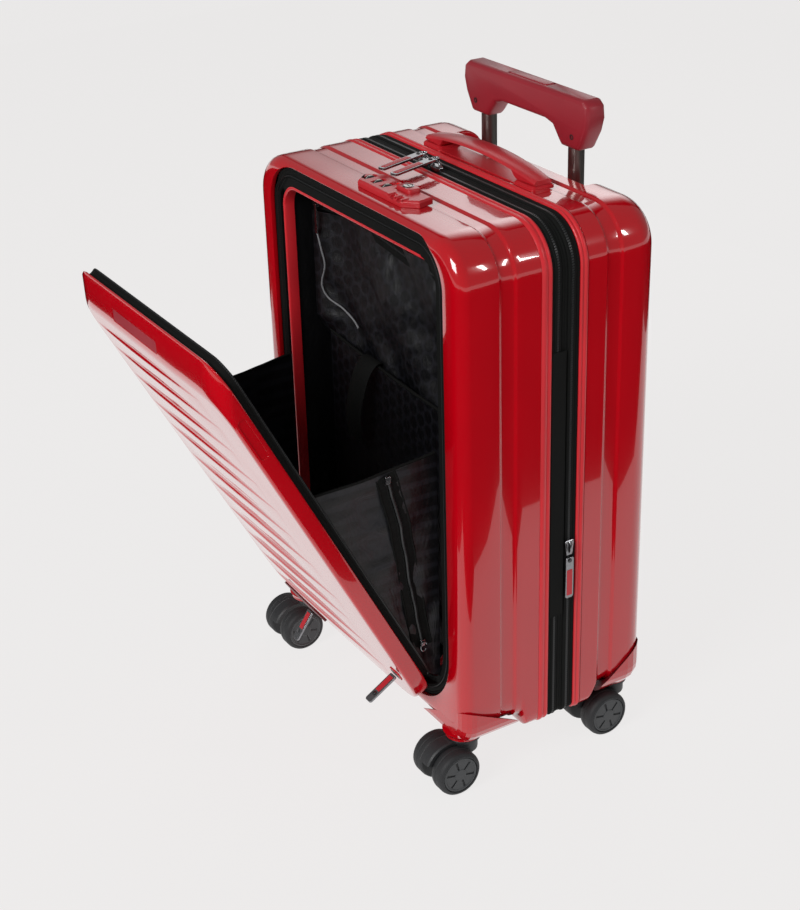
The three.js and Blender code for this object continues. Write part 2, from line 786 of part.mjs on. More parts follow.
function fork(name) {
  const plateLow = 46.4;
  const plateHigh = BUMPER_BASE - GAP;
  const web = sidePlate(
    [
      [-TRAIL - 9, WHEEL.radius - 4],
      [-TRAIL - 4, WHEEL.radius - 9],
      [-TRAIL + 5, WHEEL.radius - 9],
      [6, 32],
      [13, 38],
      [13, plateHigh],
      [-TRAIL, plateHigh],
      [-TRAIL - 9, plateHigh - 9],
    ],
    [-7, 7],
  );
  const stem = block([-12, 4.5, 34], [12, 13, plateHigh]);
  const top = cylinderZ(16, plateLow, plateHigh, 0, 0, 24);
  const axle = cylinderX(WHEEL.axle, -WHEEL.outer + 3, WHEEL.outer - 3, -TRAIL, WHEEL.radius, 12);
  return piece(name, combine(web, { add: [stem, top, axle] }), blackPlastic);
}

function wheel(name, side) {
  const { radius, inner, outer, bore } = WHEEL;
  const profile = [
    [0, outer],
    [radius - 4, outer],
    [radius - 0.8, outer - 1.5],
    [radius, outer - 4],
    [radius, inner + 3],
    [radius - 1.5, inner],
    [bore, inner],
    [bore, outer - 2.5],
    [0, outer - 2.5],
  ].map(([r, x]) => new THREE.Vector2(r, x));
  const geometry = new THREE.LatheGeometry(profile.reverse(), 22);
  geometry.rotateZ(side > 0 ? -Math.PI / 2 : Math.PI / 2);
  return piece(name, geometry.translate(0, -TRAIL, radius), blackPlastic);
}

function caster(place, x, y) {
  const group = new THREE.Group();
  group.position.set(x, y, 0);
  group.add(fork(`caster_${place}`));
  group.add(wheel(`wheel_${place}_a`, -1), wheel(`wheel_${place}_b`, 1));
  return group;
}

// ---- the whole case ----
const suitcase = new THREE.Group();

suitcase.add(rearShell(), rearLining(), housing());
suitcase.add(caseRing("rear_trim", REAR_TRIM, -1, 4.5, satinRed));
suitcase.add(caseRing("rear_zip_tape", REAR_TAPE, TAPE_INSET, TAPE_THICKNESS, blackTape));
suitcase.add(caseRing("middle_band", MIDDLE_BAND, TAPE_INSET, TAPE_THICKNESS, blackTape));
suitcase.add(expansionGusset(), hingeStrip());
suitcase.add(caseRing("front_zip_tape", FRONT_TAPE, TAPE_INSET, TAPE_THICKNESS, blackTape));
suitcase.add(caseRing("front_trim", FRONT_TRIM, -1, 4.5, satinRed));
suitcase.add(frontShell(), openingTape(), innerFrame(), pocketLiner());
suitcase.add(laptopSleeve(), dividerPanel());
suitcase.add(lid(), gusset(-1), gusset(1));

for (const [side, word] of [[-1, "left"], [1, "right"]]) {
  suitcase.add(tube(`socket_tube_${word}`, side, TUBES.socket));
  suitcase.add(tube(`stage_tube_${word}`, side, TUBES.stage));
  suitcase.add(tube(`inner_tube_${word}`, side, TUBES.inner));
  suitcase.add(bumper(`front_bumper_${word}`, side, frontStations));
  suitcase.add(bumper(`rear_bumper_${word}`, side, rearStations));
  suitcase.add(caster(`front_${word}`, side * CASTER_X, CASTER_Y[0]));
  suitcase.add(caster(`rear_${word}`, side * CASTER_X, CASTER_Y[1]));
}
suitcase.add(grip(), gripButton());
suitcase.add(carryBase(), carryHandle());
suitcase.add(lockBody(), lockDial(1), lockDial(2), lockDial(3), lockButton());
suitcase.add(mainSlider("main_slider_left", MAIN_SLIDER_X[0]));
suitcase.add(mainSlider("main_slider_right", MAIN_SLIDER_X[1]));
suitcase.add(mainPuller("main_puller_left", MAIN_SLIDER_X[0]));
suitcase.add(mainPuller("main_puller_right", MAIN_SLIDER_X[1]));
suitcase.add(sideSlider(), sidePuller());

const box = new THREE.Box3().setFromObject(suitcase, true);
const middle = box.getCenter(new THREE.Vector3());
suitcase.position.set(-middle.x, -middle.y, -box.min.z);

export default suitcase;
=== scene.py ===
import json
import math

import bmesh
import bpy
import numpy as np
from mathutils import Matrix, Vector, noise

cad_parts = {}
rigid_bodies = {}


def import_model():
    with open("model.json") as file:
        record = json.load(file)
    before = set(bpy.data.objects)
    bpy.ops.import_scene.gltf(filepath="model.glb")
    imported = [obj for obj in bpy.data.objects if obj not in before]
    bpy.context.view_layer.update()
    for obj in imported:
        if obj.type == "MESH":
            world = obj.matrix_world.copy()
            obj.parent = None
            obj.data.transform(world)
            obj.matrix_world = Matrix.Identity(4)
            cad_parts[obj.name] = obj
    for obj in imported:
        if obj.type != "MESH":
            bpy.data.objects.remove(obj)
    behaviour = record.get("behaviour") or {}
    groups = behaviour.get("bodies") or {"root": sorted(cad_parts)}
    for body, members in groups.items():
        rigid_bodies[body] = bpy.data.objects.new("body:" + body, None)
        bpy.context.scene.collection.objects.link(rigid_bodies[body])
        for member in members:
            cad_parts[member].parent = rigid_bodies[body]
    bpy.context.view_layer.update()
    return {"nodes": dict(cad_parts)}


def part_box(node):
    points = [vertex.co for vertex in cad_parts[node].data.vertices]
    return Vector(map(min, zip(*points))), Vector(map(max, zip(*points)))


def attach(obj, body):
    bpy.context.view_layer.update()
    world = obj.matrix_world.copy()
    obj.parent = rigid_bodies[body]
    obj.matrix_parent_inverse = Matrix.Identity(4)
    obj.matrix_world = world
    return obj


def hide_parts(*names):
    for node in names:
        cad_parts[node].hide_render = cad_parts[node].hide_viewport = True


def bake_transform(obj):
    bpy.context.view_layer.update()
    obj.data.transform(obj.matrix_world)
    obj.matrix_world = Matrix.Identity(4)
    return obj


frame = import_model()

# Lengths below are millimetres in the case's own axes: x across, y from front to back with zero near the main
# zip, z up from the floor. row() takes them to the row frame in metres.
MM = 0.001
REAR = 111.0
Y_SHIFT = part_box("rear_shell")[1].y / MM - REAR

HALF_WIDTH = 178.0
TOP = 545.0
BASE = 57.0
FRONT = -103.0
TOP_RADIUS = 42.0
BOTTOM_RADIUS = 22.0
BELLY_DROP = 9.5
BELLY_RADIUS = 10.0
HANG_TOP = 200.0  # the sides stretch downwards below this height
FRONT_BELLY = (-38.0, -31.0)
REAR_BELLY = (41.0, 57.0)
WALL = 4.0
FRONT_ROUND = 13.0
REAR_ROUND = 24.0
LID_HINGE = (0.0, -102.0, 78.0)
LID_ANGLE = math.radians(27.1)
LID_THICKNESS = 16.5
LID_HALF = 147.0
LID_LENGTH = 453.0
LID_CREASE = 424.0
LID_RADIUS = 30.0
LID_FOOT = 12.0
LID_FOOT_RADIUS = 46.0
OPENING_HALF = 152.9
OPENING_LOW = 71.0
OPENING_TOP = 540.0
OPENING_RADIUS = 42.0
OPENING_FOOT_RADIUS = 62.0
TUBE_X = 70.0
TUBE_Y = 96.0
POST_X = 77.0
CARRY_Y = 45.0
CASTER_X = 152.0
CASTER_Y = {"front": -87.5, "rear": 86.8}
SIDES = ((-1, "left"), (1, "right"))
FINE = {"arc": 18, "straight": 16}
BLACK = (0.0, 0.0, 0.0, 1.0)
PURE_WHITE = (1.0, 1.0, 1.0, 1.0)


def row(points):
    p = np.array(points, float).reshape(-1, 3).copy()
    p[:, 1] += Y_SHIFT
    return p * MM


def row_point(x, y, z):
    return tuple(row([(x, y, z)])[0])


def clamp(value):
    return min(max(value, 0), 1)


def smooth_step(t):
    return t * t * (3 - 2 * t)


def link(name, data):
    """A new object with this data, in the scene."""
    obj = bpy.data.objects.new(name, data)
    bpy.context.scene.collection.objects.link(obj)
    return obj


# ---------------------------------------------------------------- materials
def nodes_of(name, **values):
    """A new node material, with its shader's sockets set by name: an underscore stands for a space."""
    material = bpy.data.materials.new(name)
    material.use_nodes = True
    tree = material.node_tree
    shader = tree.nodes["Principled BSDF"]
    for socket, value in values.items():
        shader.inputs[socket.replace("_", " ")].default_value = value
    return material, tree, shader


def add(tree, kind, links=(), **values):
    node = tree.nodes.new(kind)
    for key, value in values.items():
        if key in node.inputs:
            node.inputs[key].default_value = value
        else:
            setattr(node, key, value)
    for socket, source in links:
        tree.links.new(source, node.inputs[socket])
    return node


def rgb(hex_code):
    """Linear colour with alpha from an sRGB hex code."""
    channels = [int(hex_code[i:i + 2], 16) / 255 for i in (0, 2, 4)]
    linear = [c / 12.92 if c <= 0.04045 else ((c + 0.055) / 1.055) ** 2.4 for c in channels]
    return (*linear, 1.0)


def ramp(tree, factor, stops):
    node = add(tree, "ShaderNodeValToRGB", [("Fac", factor)])
    elements = node.color_ramp.elements
    while len(elements) < len(stops):
        elements.new(0.5)
    for element, (place, color) in zip(elements, stops):
        element.position = place
        element.color = color
    return node.outputs["Color"]


def coordinates(tree, scale=(1, 1, 1), turn=(0, 0, 0)):
    place = add(tree, "ShaderNodeTexCoord").outputs["Object"]
    return add(tree, "ShaderNodeMapping", [("Vector", place)], Scale=scale, Rotation=turn).outputs["Vector"]


def texture(tree, kind, output="Fac", stretch=(1, 1, 1), turn=(0, 0, 0), **values):
    """A procedural texture in the piece's own coordinates."""
    links = [("Vector", coordinates(tree, stretch, turn))]
    return add(tree, "ShaderNodeTex" + kind, links, **values).outputs[output]


def arithmetic(tree, operation, first, second):
    """A maths node of one source and either another source or a number."""
    node = add(tree, "ShaderNodeMath", operation=operation)
    tree.links.new(first, node.inputs[0])
    if isinstance(second, float):
        node.inputs[1].default_value = second
    else:
        tree.links.new(second, node.inputs[1])
    return node.outputs[0]


def shade(color, factor):
    """The colour made darker or lighter, at full alpha."""
    return tuple(min(1, c * factor) for c in color[:3]) + (1.0,)


def bump(tree, height, strength, distance, under=None):
    links = [("Height", height)]
    if under is not None:
        links.append(("Normal", under))
    node = add(tree, "ShaderNodeBump", links, Strength=strength, Distance=distance)
    return node.outputs["Normal"]


def plastic(name, color, roughness, coat=0.0, coat_roughness=0.03, grain=0.0, spread=0.08, ripple=0.0):
    """Moulded plastic: slight colour drift, a fine grain, and for gloss a slow ripple in the surface."""
    material, tree, shader = nodes_of(name, Roughness=roughness, Coat_Weight=coat,
                                      Coat_Roughness=coat_roughness)
    drift = texture(tree, "Noise", Scale=9.0, Detail=2.0)
    stops = [(0.35, shade(color, 1 - spread)), (0.65, shade(color, 1 + spread))]
    tree.links.new(ramp(tree, drift, stops), shader.inputs["Base Color"])
    normal = None
    if ripple:
        slow = texture(tree, "Noise", stretch=(7, 7, 2), Scale=1.6, Detail=1.0)
        normal = bump(tree, slow, 1.0, ripple)
        shader.inputs["Coat IOR"].default_value = 1.6
        shader.inputs["Specular IOR Level"].default_value = 0.3
        tree.links.new(normal, shader.inputs["Coat Normal"])
    if grain:
        fine = texture(tree, "Noise", Scale=1400.0, Detail=2.0)
        normal = bump(tree, fine, grain, 0.0002, normal)
    if normal is not None:
        tree.links.new(normal, shader.inputs["Normal"])
    return material


def metal(name, color, roughness, scratch):
    """Brushed metal; scratch is how the brushing is stretched along each axis."""
    material, tree, shader = nodes_of(name, Metallic=1.0)
    brushed = texture(tree, "Noise", stretch=scratch, Scale=300.0, Detail=3.0)
    tree.links.new(ramp(tree, brushed, [(0.3, shade(color, 0.8)), (0.7, color)]), shader.inputs["Base Color"])
    rough = add(tree, "ShaderNodeMapRange", [("Value", brushed)])
    rough.inputs["To Min"].default_value = roughness * 0.8
    rough.inputs["To Max"].default_value = roughness * 1.3
    tree.links.new(rough.outputs["Result"], shader.inputs["Roughness"])
    tree.links.new(bump(tree, brushed, 0.15, 0.0001), shader.inputs["Normal"])
    return material


def honeycomb(tree, tint):
    """Three sets of waves at 60 degrees to each other meet in the outlines of hexagons."""
    waves = [texture(tree, "Wave", turn=(0, math.radians(60 * k), 0), Scale=WAVE / HEX_PITCH,
                     bands_direction="X")
             for k in range(3)]
    total = arithmetic(tree, "ADD", arithmetic(tree, "ADD", waves[0], waves[1]), waves[2])
    share = arithmetic(tree, "MULTIPLY", total, 1 / 3)
    line = ramp(tree, share, [(0.61, PURE_WHITE), (0.65, (3.2, 3.2, 3.3, 1))])
    mixed = add(tree, "ShaderNodeMix", data_type="RGBA", blend_type="MULTIPLY")
    mixed.inputs["Factor"].default_value = 1.0
    tree.links.new(tint, mixed.inputs["A"])
    tree.links.new(line, mixed.inputs["B"])
    return mixed.outputs["Result"]


def fabric(name, color, pitch, sheen=0.25, roughness=0.8, crumple=0.0, hexes=False, specular=0.2):
    """Woven fabric: two crossed sets of threads, and for the lining a tone-on-tone honeycomb."""
    material, tree, shader = nodes_of(name, Roughness=roughness, Specular_IOR_Level=specular,
                                      Sheen_Weight=sheen, Sheen_Roughness=0.4)
    threads = [texture(tree, "Wave", Scale=WAVE / pitch, Distortion=0.6, bands_direction=axis)
               for axis in "XZ"]
    weave = arithmetic(tree, "ADD", *threads)
    tint = ramp(tree, weave, [(0.2, shade(color, 0.7)), (1.0, color)])
    if hexes:
        tint = honeycomb(tree, tint)
    tree.links.new(tint, shader.inputs["Base Color"])
    normal = bump(tree, weave, 0.35, 0.0002)
    if crumple:
        fold = texture(tree, "Noise", stretch=(1, 1, 0.6), Scale=26.0, Detail=4.0)
        normal = bump(tree, fold, 0.9, crumple, normal)
    tree.links.new(normal, shader.inputs["Normal"])
    return material


HEX_PITCH = 0.0125  # metres from one cell to the next
WAVE = 0.314  # a wave texture's scale times its pitch
GLOSS_RED = plastic("gloss_red", rgb("bd0012"), 0.16, coat=1.0, ripple=0.0009, spread=0.04)
SATIN_RED = plastic("satin_red", rgb("c4222c"), 0.34, coat=0.25, coat_roughness=0.2, grain=0.12)
TRIM_RED = plastic("trim_red", rgb("d8242e"), 0.36, coat=0.2, coat_roughness=0.25, grain=0.1)
GRIP_RED = plastic("grip_red", rgb("9a2430"), 0.36, grain=0.25)
INSERT_RED = plastic("insert_red", rgb("c0222e"), 0.45, grain=0.2)
# painted shade: a dark red standing for the shade where the corner caps meet the shell and in the lid's
# recess
PAINTED_SHADE_RED = plastic("painted_shade_red", rgb("5c0a12"), 0.45, grain=0.2)
DOT_RED = plastic("dot_red", rgb("f01818"), 0.2, coat=0.6)
WHITE = plastic("dial_white", rgb("e9e4dc"), 0.4, grain=0.1, spread=0.02)
# painted shade: near-black for the inside of the lid's slot and of the key slit, which are flat plates, not
# holes
PAINTED_HOLE_SHADE = plastic("painted_hole_shade", rgb("1a1a1c"), 0.5, grain=0.1)
BLACK_PLASTIC = plastic("black_plastic", rgb("2a2b2d"), 0.5, grain=0.5)
HUB_PLASTIC = plastic("hub_plastic", rgb("3a3c3e"), 0.42, grain=0.4)
RUBBER = plastic("wheel_rubber", rgb("232426"), 0.62, grain=0.6)
TUBE_METAL = metal("tube_grey", rgb("8f8a86"), 0.3, (1, 1, 0.03))
ZIP_METAL = metal("zip_metal", rgb("9b9b9e"), 0.22, (1, 1, 1))
SCREW_METAL = metal("screw_metal", rgb("6a6a6c"), 0.3, (1, 1, 1))
TAPE = fabric("black_tape", rgb("0d0e0d"), 0.0009, sheen=0.0)
CORD = plastic("grey_cord", rgb("7d7d80"), 0.6, grain=0.3)
COIL = plastic("zip_coil", rgb("2a2b2c"), 0.36, grain=0.3)
LINING = fabric("black_lining", rgb("0b0b0e"), 0.0006, sheen=0.0, roughness=0.34, crumple=0.0035, hexes=True,
                specular=0.5)
PLAIN_LINING = fabric("gusset_fabric", rgb("0c0c0e"), 0.0006, sheen=0.05, roughness=0.42, crumple=0.005,
                      specular=0.35)


# ---------------------------------------------------------------- mesh helpers
def place(name, points, faces, material, body, slot, smooth=38.0, stands_for=(), matrix=None):
    """A mesh piece from points in millimetres in the case's axes, riding on a body."""
    mesh = bpy.data.meshes.new(name)
    points = np.array(points, float).reshape(-1, 3)
    if matrix is not None:
        turned = np.c_[points, np.ones(len(points))] @ np.array(matrix).T
        points = turned[:, :3]
    mesh.from_pydata(row(points).tolist(), [], [list(f) for f in faces])
    work = bmesh.new()
    work.from_mesh(mesh)
    bmesh.ops.remove_doubles(work, verts=work.verts, dist=1e-6)
    bmesh.ops.recalc_face_normals(work, faces=work.faces)
    work.to_mesh(mesh)
    work.free()
    return dress(link(name, mesh), material, body, slot, smooth, stands_for)


def dress(obj, material, body, slot, smooth=38.0, stands_for=()):
    """Gives a mesh its material, body and the CAD nodes it replaces; slot is not used. A tool has no body or
    slot.
    """
    obj.data.materials.clear()
    obj.data.materials.append(material)
    round_off(obj, smooth)
    if body:
        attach(obj, body)
    if stands_for:
        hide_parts(*stands_for)
    return obj


def round_off(obj, angle=38.0):
    """Smooth shading, with edges sharper than the angle left sharp."""
    obj.data.shade_smooth()
    obj.data.set_sharp_from_angle(angle=math.radians(angle))


def bevel(obj, width, segments=2, angle=40.0):
    modifier = obj.modifiers.new("bevel", "BEVEL")
    modifier.width = width * MM
    modifier.segments = segments
    modifier.limit_method = "ANGLE"
    modifier.angle_limit = math.radians(angle)
    modifier.harden_normals = True
    return obj


def baked(obj):
    """The mesh with its modifiers applied."""
    graph = bpy.context.evaluated_depsgraph_get()
    mesh = bpy.data.meshes.new_from_object(obj.evaluated_get(graph))
    obj.modifiers.clear()
    obj.data = mesh
    return obj


def cut(obj, tools):
    """Takes each tool out of the piece in turn and throws the tool away."""
    for tool in tools:
        modifier = obj.modifiers.new("cut", "BOOLEAN")
        modifier.operation = "DIFFERENCE"
        modifier.solver = "EXACT"
        modifier.object = tool
        baked(obj)
        bpy.data.objects.remove(tool)
    round_off(obj)
    return obj


def grid_faces(rows, columns, closed_rows=False, closed_columns=True):
    faces = []
    for r in range(rows if closed_rows else rows - 1):
        for c in range(columns if closed_columns else columns - 1):
            a, b = r * columns, ((r + 1) % rows) * columns
            d = (c + 1) % columns
            faces.append((a + c, a + d, b + d, b + c))
    return faces


def two_sided(rows, columns):
    """Faces of a grid of points, of a second grid behind it and of the border that joins them."""
    front = grid_faces(rows, columns, closed_columns=False)
    offset = rows * columns
    faces = front + [tuple(offset + i for i in reversed(f)) for f in front]
    border = list(range(columns)) + [r * columns + columns - 1 for r in range(1, rows)]
    border += [(rows - 1) * columns + c for c in range(columns - 2, -1, -1)]
    border += [r * columns for r in range(rows - 2, 0, -1)]
    for a, b in zip(border, border[1:] + border[:1]):
        faces.append((a, b, b + offset, a + offset))
    return faces


def stack_faces(rows, closed=False, caps=False):
    """Faces of a stack of equal closed loops, joined end to end or capped."""
    count = len(rows[0])
    faces = grid_faces(len(rows), count, closed_rows=closed)
    if caps:
        faces.append(tuple(range(count)))
        faces.append(tuple(range((len(rows) - 1) * count, len(rows) * count)))
    return faces


def stack(name, rows, material, body, slot, closed=False, caps=False, **more):
    return place(name, np.concatenate(rows), stack_faces(rows, closed, caps), material, body, slot, **more)


def prism(name, outline, low, high, axis, material, body=None, slot=None, **more):
    """An outline of two coordinates made thick along the third: axis is 0, 1 or 2. A tool has no body."""
    rows = [np.insert(np.array(outline, float), axis, level, axis=1) for level in (low, high)]
    return stack(name, rows, material, body, slot, caps=True, **more)


def slab(name, low, high, material, body=None, slot=None, **more):
    (x0, y0, z0), (x1, y1, z1) = low, high
    outline = [(x0, z0), (x1, z0), (x1, z1), (x0, z1)]
    return prism(name, outline, y0, y1, 1, material, body, slot, **more)


def lathe(name, profile, axis, centre, material, body=None, slot=None, steps=48, closed=False, **more):
    """(radius, height) pairs turned about X (0), Y (1) or Z (2)."""
    angles = np.linspace(0, 2 * math.pi, steps, endpoint=False)
    rows = []
    for radius, height in profile:
        radius = max(radius, 0.001)
        ring = np.stack([np.cos(angles) * radius, np.sin(angles) * radius], axis=1)
        rows.append(np.insert(ring, axis, height, axis=1) + np.array(centre))
    return stack(name, rows, material, body, slot, closed=closed, caps=not closed, **more)


def rod(name, path, radius, material, body, slot, sides=10, **more):
    """A tube along a path of points."""
    path = [Vector(p) for p in path]
    rows = []
    side = None
    for i, point in enumerate(path):
        along = (path[min(i + 1, len(path) - 1)] - path[max(i - 1, 0)]).normalized()
        if side is None:
            side = along.cross(Vector((0, 0, 1)))
            if side.length < 0.1:
                side = along.cross(Vector((0, 1, 0)))
        side = (side - along * side.dot(along)).normalized()
        up = along.cross(side).normalized()
        angles = [2 * math.pi * k / sides for k in range(sides)]
        rows.append(np.array([point + side * radius * math.cos(a) + up * radius * math.sin(a)
                              for a in angles]))
    return stack(name, rows, material, body, slot, caps=True, **more)


# ---------------------------------------------------------------- outlines
def rounded(half, low, high, top_radius, bottom_radius, arc=14, straight=10):
    """Rounded rectangle in x and z, with its straight sides divided as well."""
    corners = [(half - bottom_radius, low + bottom_radius, bottom_radius, -0.5),
               (half - top_radius, high - top_radius, top_radius, 0.0),
               (-half + top_radius, high - top_radius, top_radius, 0.5),
               (-half + bottom_radius, low + bottom_radius, bottom_radius, 1.0)]
    points = []
    for x, z, radius, start in corners:
        for i in range(arc + 1):
            angle = math.pi * (start + 0.5 * i / arc)
            points.append((x + radius * math.cos(angle), z + radius * math.sin(angle)))
    filled = []
    for i, point in enumerate(points):
        filled.append(point)
        if i % (arc + 1) == arc:
            after = points[(i + 1) % len(points)]
            for k in range(1, straight):
                t = k / straight
                filled.append((point[0] + (after[0] - point[0]) * t, point[1] + (after[1] - point[1]) * t))
    return np.array(filled)


def case_outline(inset, belly=0.0, **more):
    bottom_radius = BOTTOM_RADIUS - belly * (BOTTOM_RADIUS - BELLY_RADIUS)
    return rounded(HALF_WIDTH - inset, BASE - belly * BELLY_DROP + inset, TOP - inset, TOP_RADIUS - inset,
                   max(bottom_radius - inset, 3), **more)


def band_outline(inset, **more):
    return case_outline(inset, belly=1.0, **more)


def belly_at(y):
    """How far the underside has dropped at a depth: 0 over the casters, 1 between them."""
    drop = (y - FRONT_BELLY[0]) / (FRONT_BELLY[1] - FRONT_BELLY[0])
    rise = (REAR_BELLY[1] - y) / (REAR_BELLY[1] - REAR_BELLY[0])
    return smooth_step(clamp(min(drop, rise)))


def hang(points, share):
    """Moves an outline's underside down and tightens its lower corners by a share of the full belly."""
    x, z = np.abs(points[:, 0]), points[:, 1]
    corner_x, corner_z = HALF_WIDTH - BOTTOM_RADIUS, BASE + BOTTOM_RADIUS
    tighter = (BOTTOM_RADIUS - BELLY_RADIUS) * share
    new_x, new_z = corner_x + tighter, corner_z - BELLY_DROP * share - tighter
    dx, dz = x - corner_x, corner_z - z
    length = np.maximum(np.hypot(dx, dz), 0.01)
    radius = np.maximum(length - tighter, 0.5)
    corner, under = (dx > 0) & (dz > 0), (dx <= 0) & (dz > 0)
    beside = (dx > 0) & (dz <= 0) & (z < HANG_TOP)
    out_x = np.where(corner, new_x + radius * dx / length, np.where(under, x * new_x / corner_x, x))
    out_z = np.where(corner, new_z - radius * dz / length, np.where(under, z - BELLY_DROP * share, z))
    stretched = HANG_TOP - (HANG_TOP - z) * (HANG_TOP - new_z) / (HANG_TOP - corner_z)
    out_z = np.where(beside, stretched, out_z)
    return np.stack([np.copysign(out_x, points[:, 0]), out_z], axis=1)


def opening_outline(inset, **more):
    return rounded(OPENING_HALF - inset, OPENING_LOW + inset, OPENING_TOP - inset, OPENING_RADIUS - inset,
                   max(OPENING_FOOT_RADIUS - inset, 5), **more)


def lid_outline(inset, high=LID_LENGTH, low=LID_FOOT, **more):
    return rounded(LID_HALF - inset, low + inset, high - inset, LID_RADIUS - inset, LID_FOOT_RADIUS - inset,
                   **more)


def at(outline, y):
    """The outline's points in space at one depth."""
    return np.insert(outline, 1, y, axis=1)


def ring(name, outline, profile, material, body, slot, **more):
    """A closed ring from (depth, inset) pairs that go once round its section."""
    rows = [at(outline(inset), y) for y, inset in profile]
    return stack(name, rows, material, body, slot, closed=True, **more)


def arc_profile(y0, y1, inset, rise, steps=8):
    """A section's outer side that bulges out by rise between two depths."""
    return [(y0 + (y1 - y0) * t, inset - rise * math.sin(math.pi * t) ** 0.8)
            for t in (i / steps for i in range(steps + 1))]


# ---------------------------------------------------------------- shells
# how the channel's wall falls away: distance along and depth
CHANNEL_SOFT = [(0.0, 0.0), (0.5, 0.08), (1.3, 0.7), (2.2, 1.5), (3.2, 1.93), (4.0, 2.0)]


def channel_profile(low, high):
    rising = [(low + y, inset) for y, inset in CHANNEL_SOFT]
    falling = [(high - y, inset) for y, inset in reversed(CHANNEL_SOFT)]
    return rising + falling


def edge_profile(face, radius, steps, wall=0.0):
    """A quarter turn from the side of the shell to its rear face, as (depth, inset) pairs."""
    points = []
    for i in range(1, steps + 1):
        angle = math.pi / 2 * i / steps
        points.append((face - radius + (radius - wall) * math.sin(angle),
                       radius - (radius - wall) * math.cos(angle)))
    return points


def depth_inside(points):
    """How far each (x, z) point lies inside the case's outline."""
    x, z = np.abs(points[:, 0]), points[:, 1]
    flat = np.minimum(np.minimum(HALF_WIDTH - x, TOP - z), z - BASE)
    for radius, level, sign in ((TOP_RADIUS, TOP - TOP_RADIUS, 1), (BOTTOM_RADIUS, BASE + BOTTOM_RADIUS, -1)):
        dx, dz = x - (HALF_WIDTH - radius), (z - level) * sign
        corner = (dx > 0) & (dz > 0)
        flat = np.where(corner, radius - np.hypot(dx, dz), flat)
    return flat


def front_shell():
    """Rows run from the band over the edge to the lip, along rays that leave the opening squarely."""
    lip = opening_outline(0, **FINE)
    tangent = np.roll(lip, -1, axis=0) - np.roll(lip, 1, axis=0)
    outward = np.stack([tangent[:, 1], -tangent[:, 0]], axis=1)
    outward /= np.linalg.norm(outward, axis=1)[:, None]
    lip_depth = depth_inside(lip)

    def on_ray(depth):
        """The point on each ray that lies this deep inside the case's outline, found by halving."""
        near, far = np.zeros(len(lip)), np.full(len(lip), 60.0)
        for _ in range(40):
            middle = (near + far) / 2
            inside = depth_inside(lip + outward * middle[:, None]) > depth
            near, far = np.where(inside, middle, near), np.where(inside, far, middle)
        return lip + outward * near[:, None]

    def level_ray(depth):
        return on_ray(np.full(len(lip), depth))

    def face_depth(inset):
        inset = np.clip(inset, 0, FRONT_ROUND)
        return FRONT + FRONT_ROUND - np.sqrt(FRONT_ROUND ** 2 - (FRONT_ROUND - inset) ** 2)

    def uneven(points, depths):
        """A row whose depth differs from point to point."""
        return np.stack([points[:, 0], depths, points[:, 1]], axis=1)

    mouth = -18.8
    sides = [(mouth, 0.0)] + [(y, 0.0) for y in np.linspace(FRONT_BELLY[1], FRONT_BELLY[0], 9)]
    sides += channel_profile(-62.5, -43.5)[::-1] + [(-76.0, 0.0)]
    rows = [at(hang(level_ray(inset), belly_at(y)), y) for y, inset in sides]
    end = np.minimum(lip_depth - 0.7, FRONT_ROUND)
    steps = 9
    for k in range(steps + 1):
        inset = np.minimum(FRONT_ROUND * (1 - math.cos(math.pi / 2 * k / steps)), end)
        rows.append(uneven(on_ray(inset), face_depth(inset)))
    for along, deep in ((0.6, 0.0), (0.2, 0.15), (0.0, 0.6)):
        rows.append(uneven(lip + outward * along, face_depth(end) + deep))
    rows.append(at(lip, FRONT + WALL))
    inner = np.maximum(np.minimum(lip_depth, FRONT_ROUND), WALL)
    rows.append(at(on_ray(np.minimum(inner, lip_depth)), FRONT + WALL))
    points = level_ray(WALL)
    rows.append(at(points, FRONT + FRONT_ROUND))
    rows.append(at(points, FRONT_BELLY[0]))
    rows += [at(hang(points, 1.0), y) for y in (FRONT_BELLY[1], mouth)]
    shell = stack("front_shell_skin", rows, GLOSS_RED, "front_case", "gloss_red", closed=True, smooth=50,
                  stands_for=["front_shell"])
    cut(shell, [slab("window", (-21, -79, TOP - 12), (21, -63, TOP + 2), GLOSS_RED)])


def rear_shell():
    mouth = 30.8
    outside = [(mouth, 0.0)] + [(y, 0.0) for y in np.linspace(REAR_BELLY[0], 49, 7)]
    outside += channel_profile(50, 69) + [(REAR - REAR_ROUND, 0.0)]
    outside += edge_profile(REAR, REAR_ROUND, 14)
    inside = [(y, WALL) for y in (mouth, REAR_BELLY[0], REAR_BELLY[1], REAR - REAR_ROUND)]
    inside += edge_profile(REAR, REAR_ROUND, 6, WALL)
    rows = [at(case_outline(inset, belly=belly_at(y), **FINE), y) for y, inset in inside[::-1] + outside]
    shell = stack("rear_shell_skin", rows, GLOSS_RED, "rear_case", "gloss_red", caps=True, smooth=50,
                  stands_for=["rear_shell"])
    tools = [prism("recess", rounded(104, 495, 620, 7, 7, arc=5, straight=1), 80, 130, 1, GLOSS_RED)]
    for side in (-1, 1):
        tools.append(lathe("post_hole", [(4.5, TOP - 9), (4.5, TOP + 9)], 2, (side * POST_X, CARRY_Y, 0),
                           GLOSS_RED, steps=20))
    cut(shell, tools)
    bevel(shell, 0.7, 2, 60)


def trims():
    """A double bead along each half's mouth, with the wider roll on the outer side."""
    for end, y0, y1, split, rises in (("front", -18.5, -7.5, 0.62, (1.3, 0.9)),
                                      ("rear", 22.3, 30.5, 0.38, (0.9, 1.3))):
        middle = y0 + (y1 - y0) * split
        profile = arc_profile(y0, middle - 0.1, 0.2, rises[0])
        profile += arc_profile(middle + 0.1, y1, 0.2, rises[1])
        profile += [(y1, 3.5), (y0, 3.5)]
        ring(f"{end}_trim_bead", band_outline, profile, TRIM_RED, f"{end}_case", "satin_red", smooth=50,
             stands_for=[f"{end}_trim"])


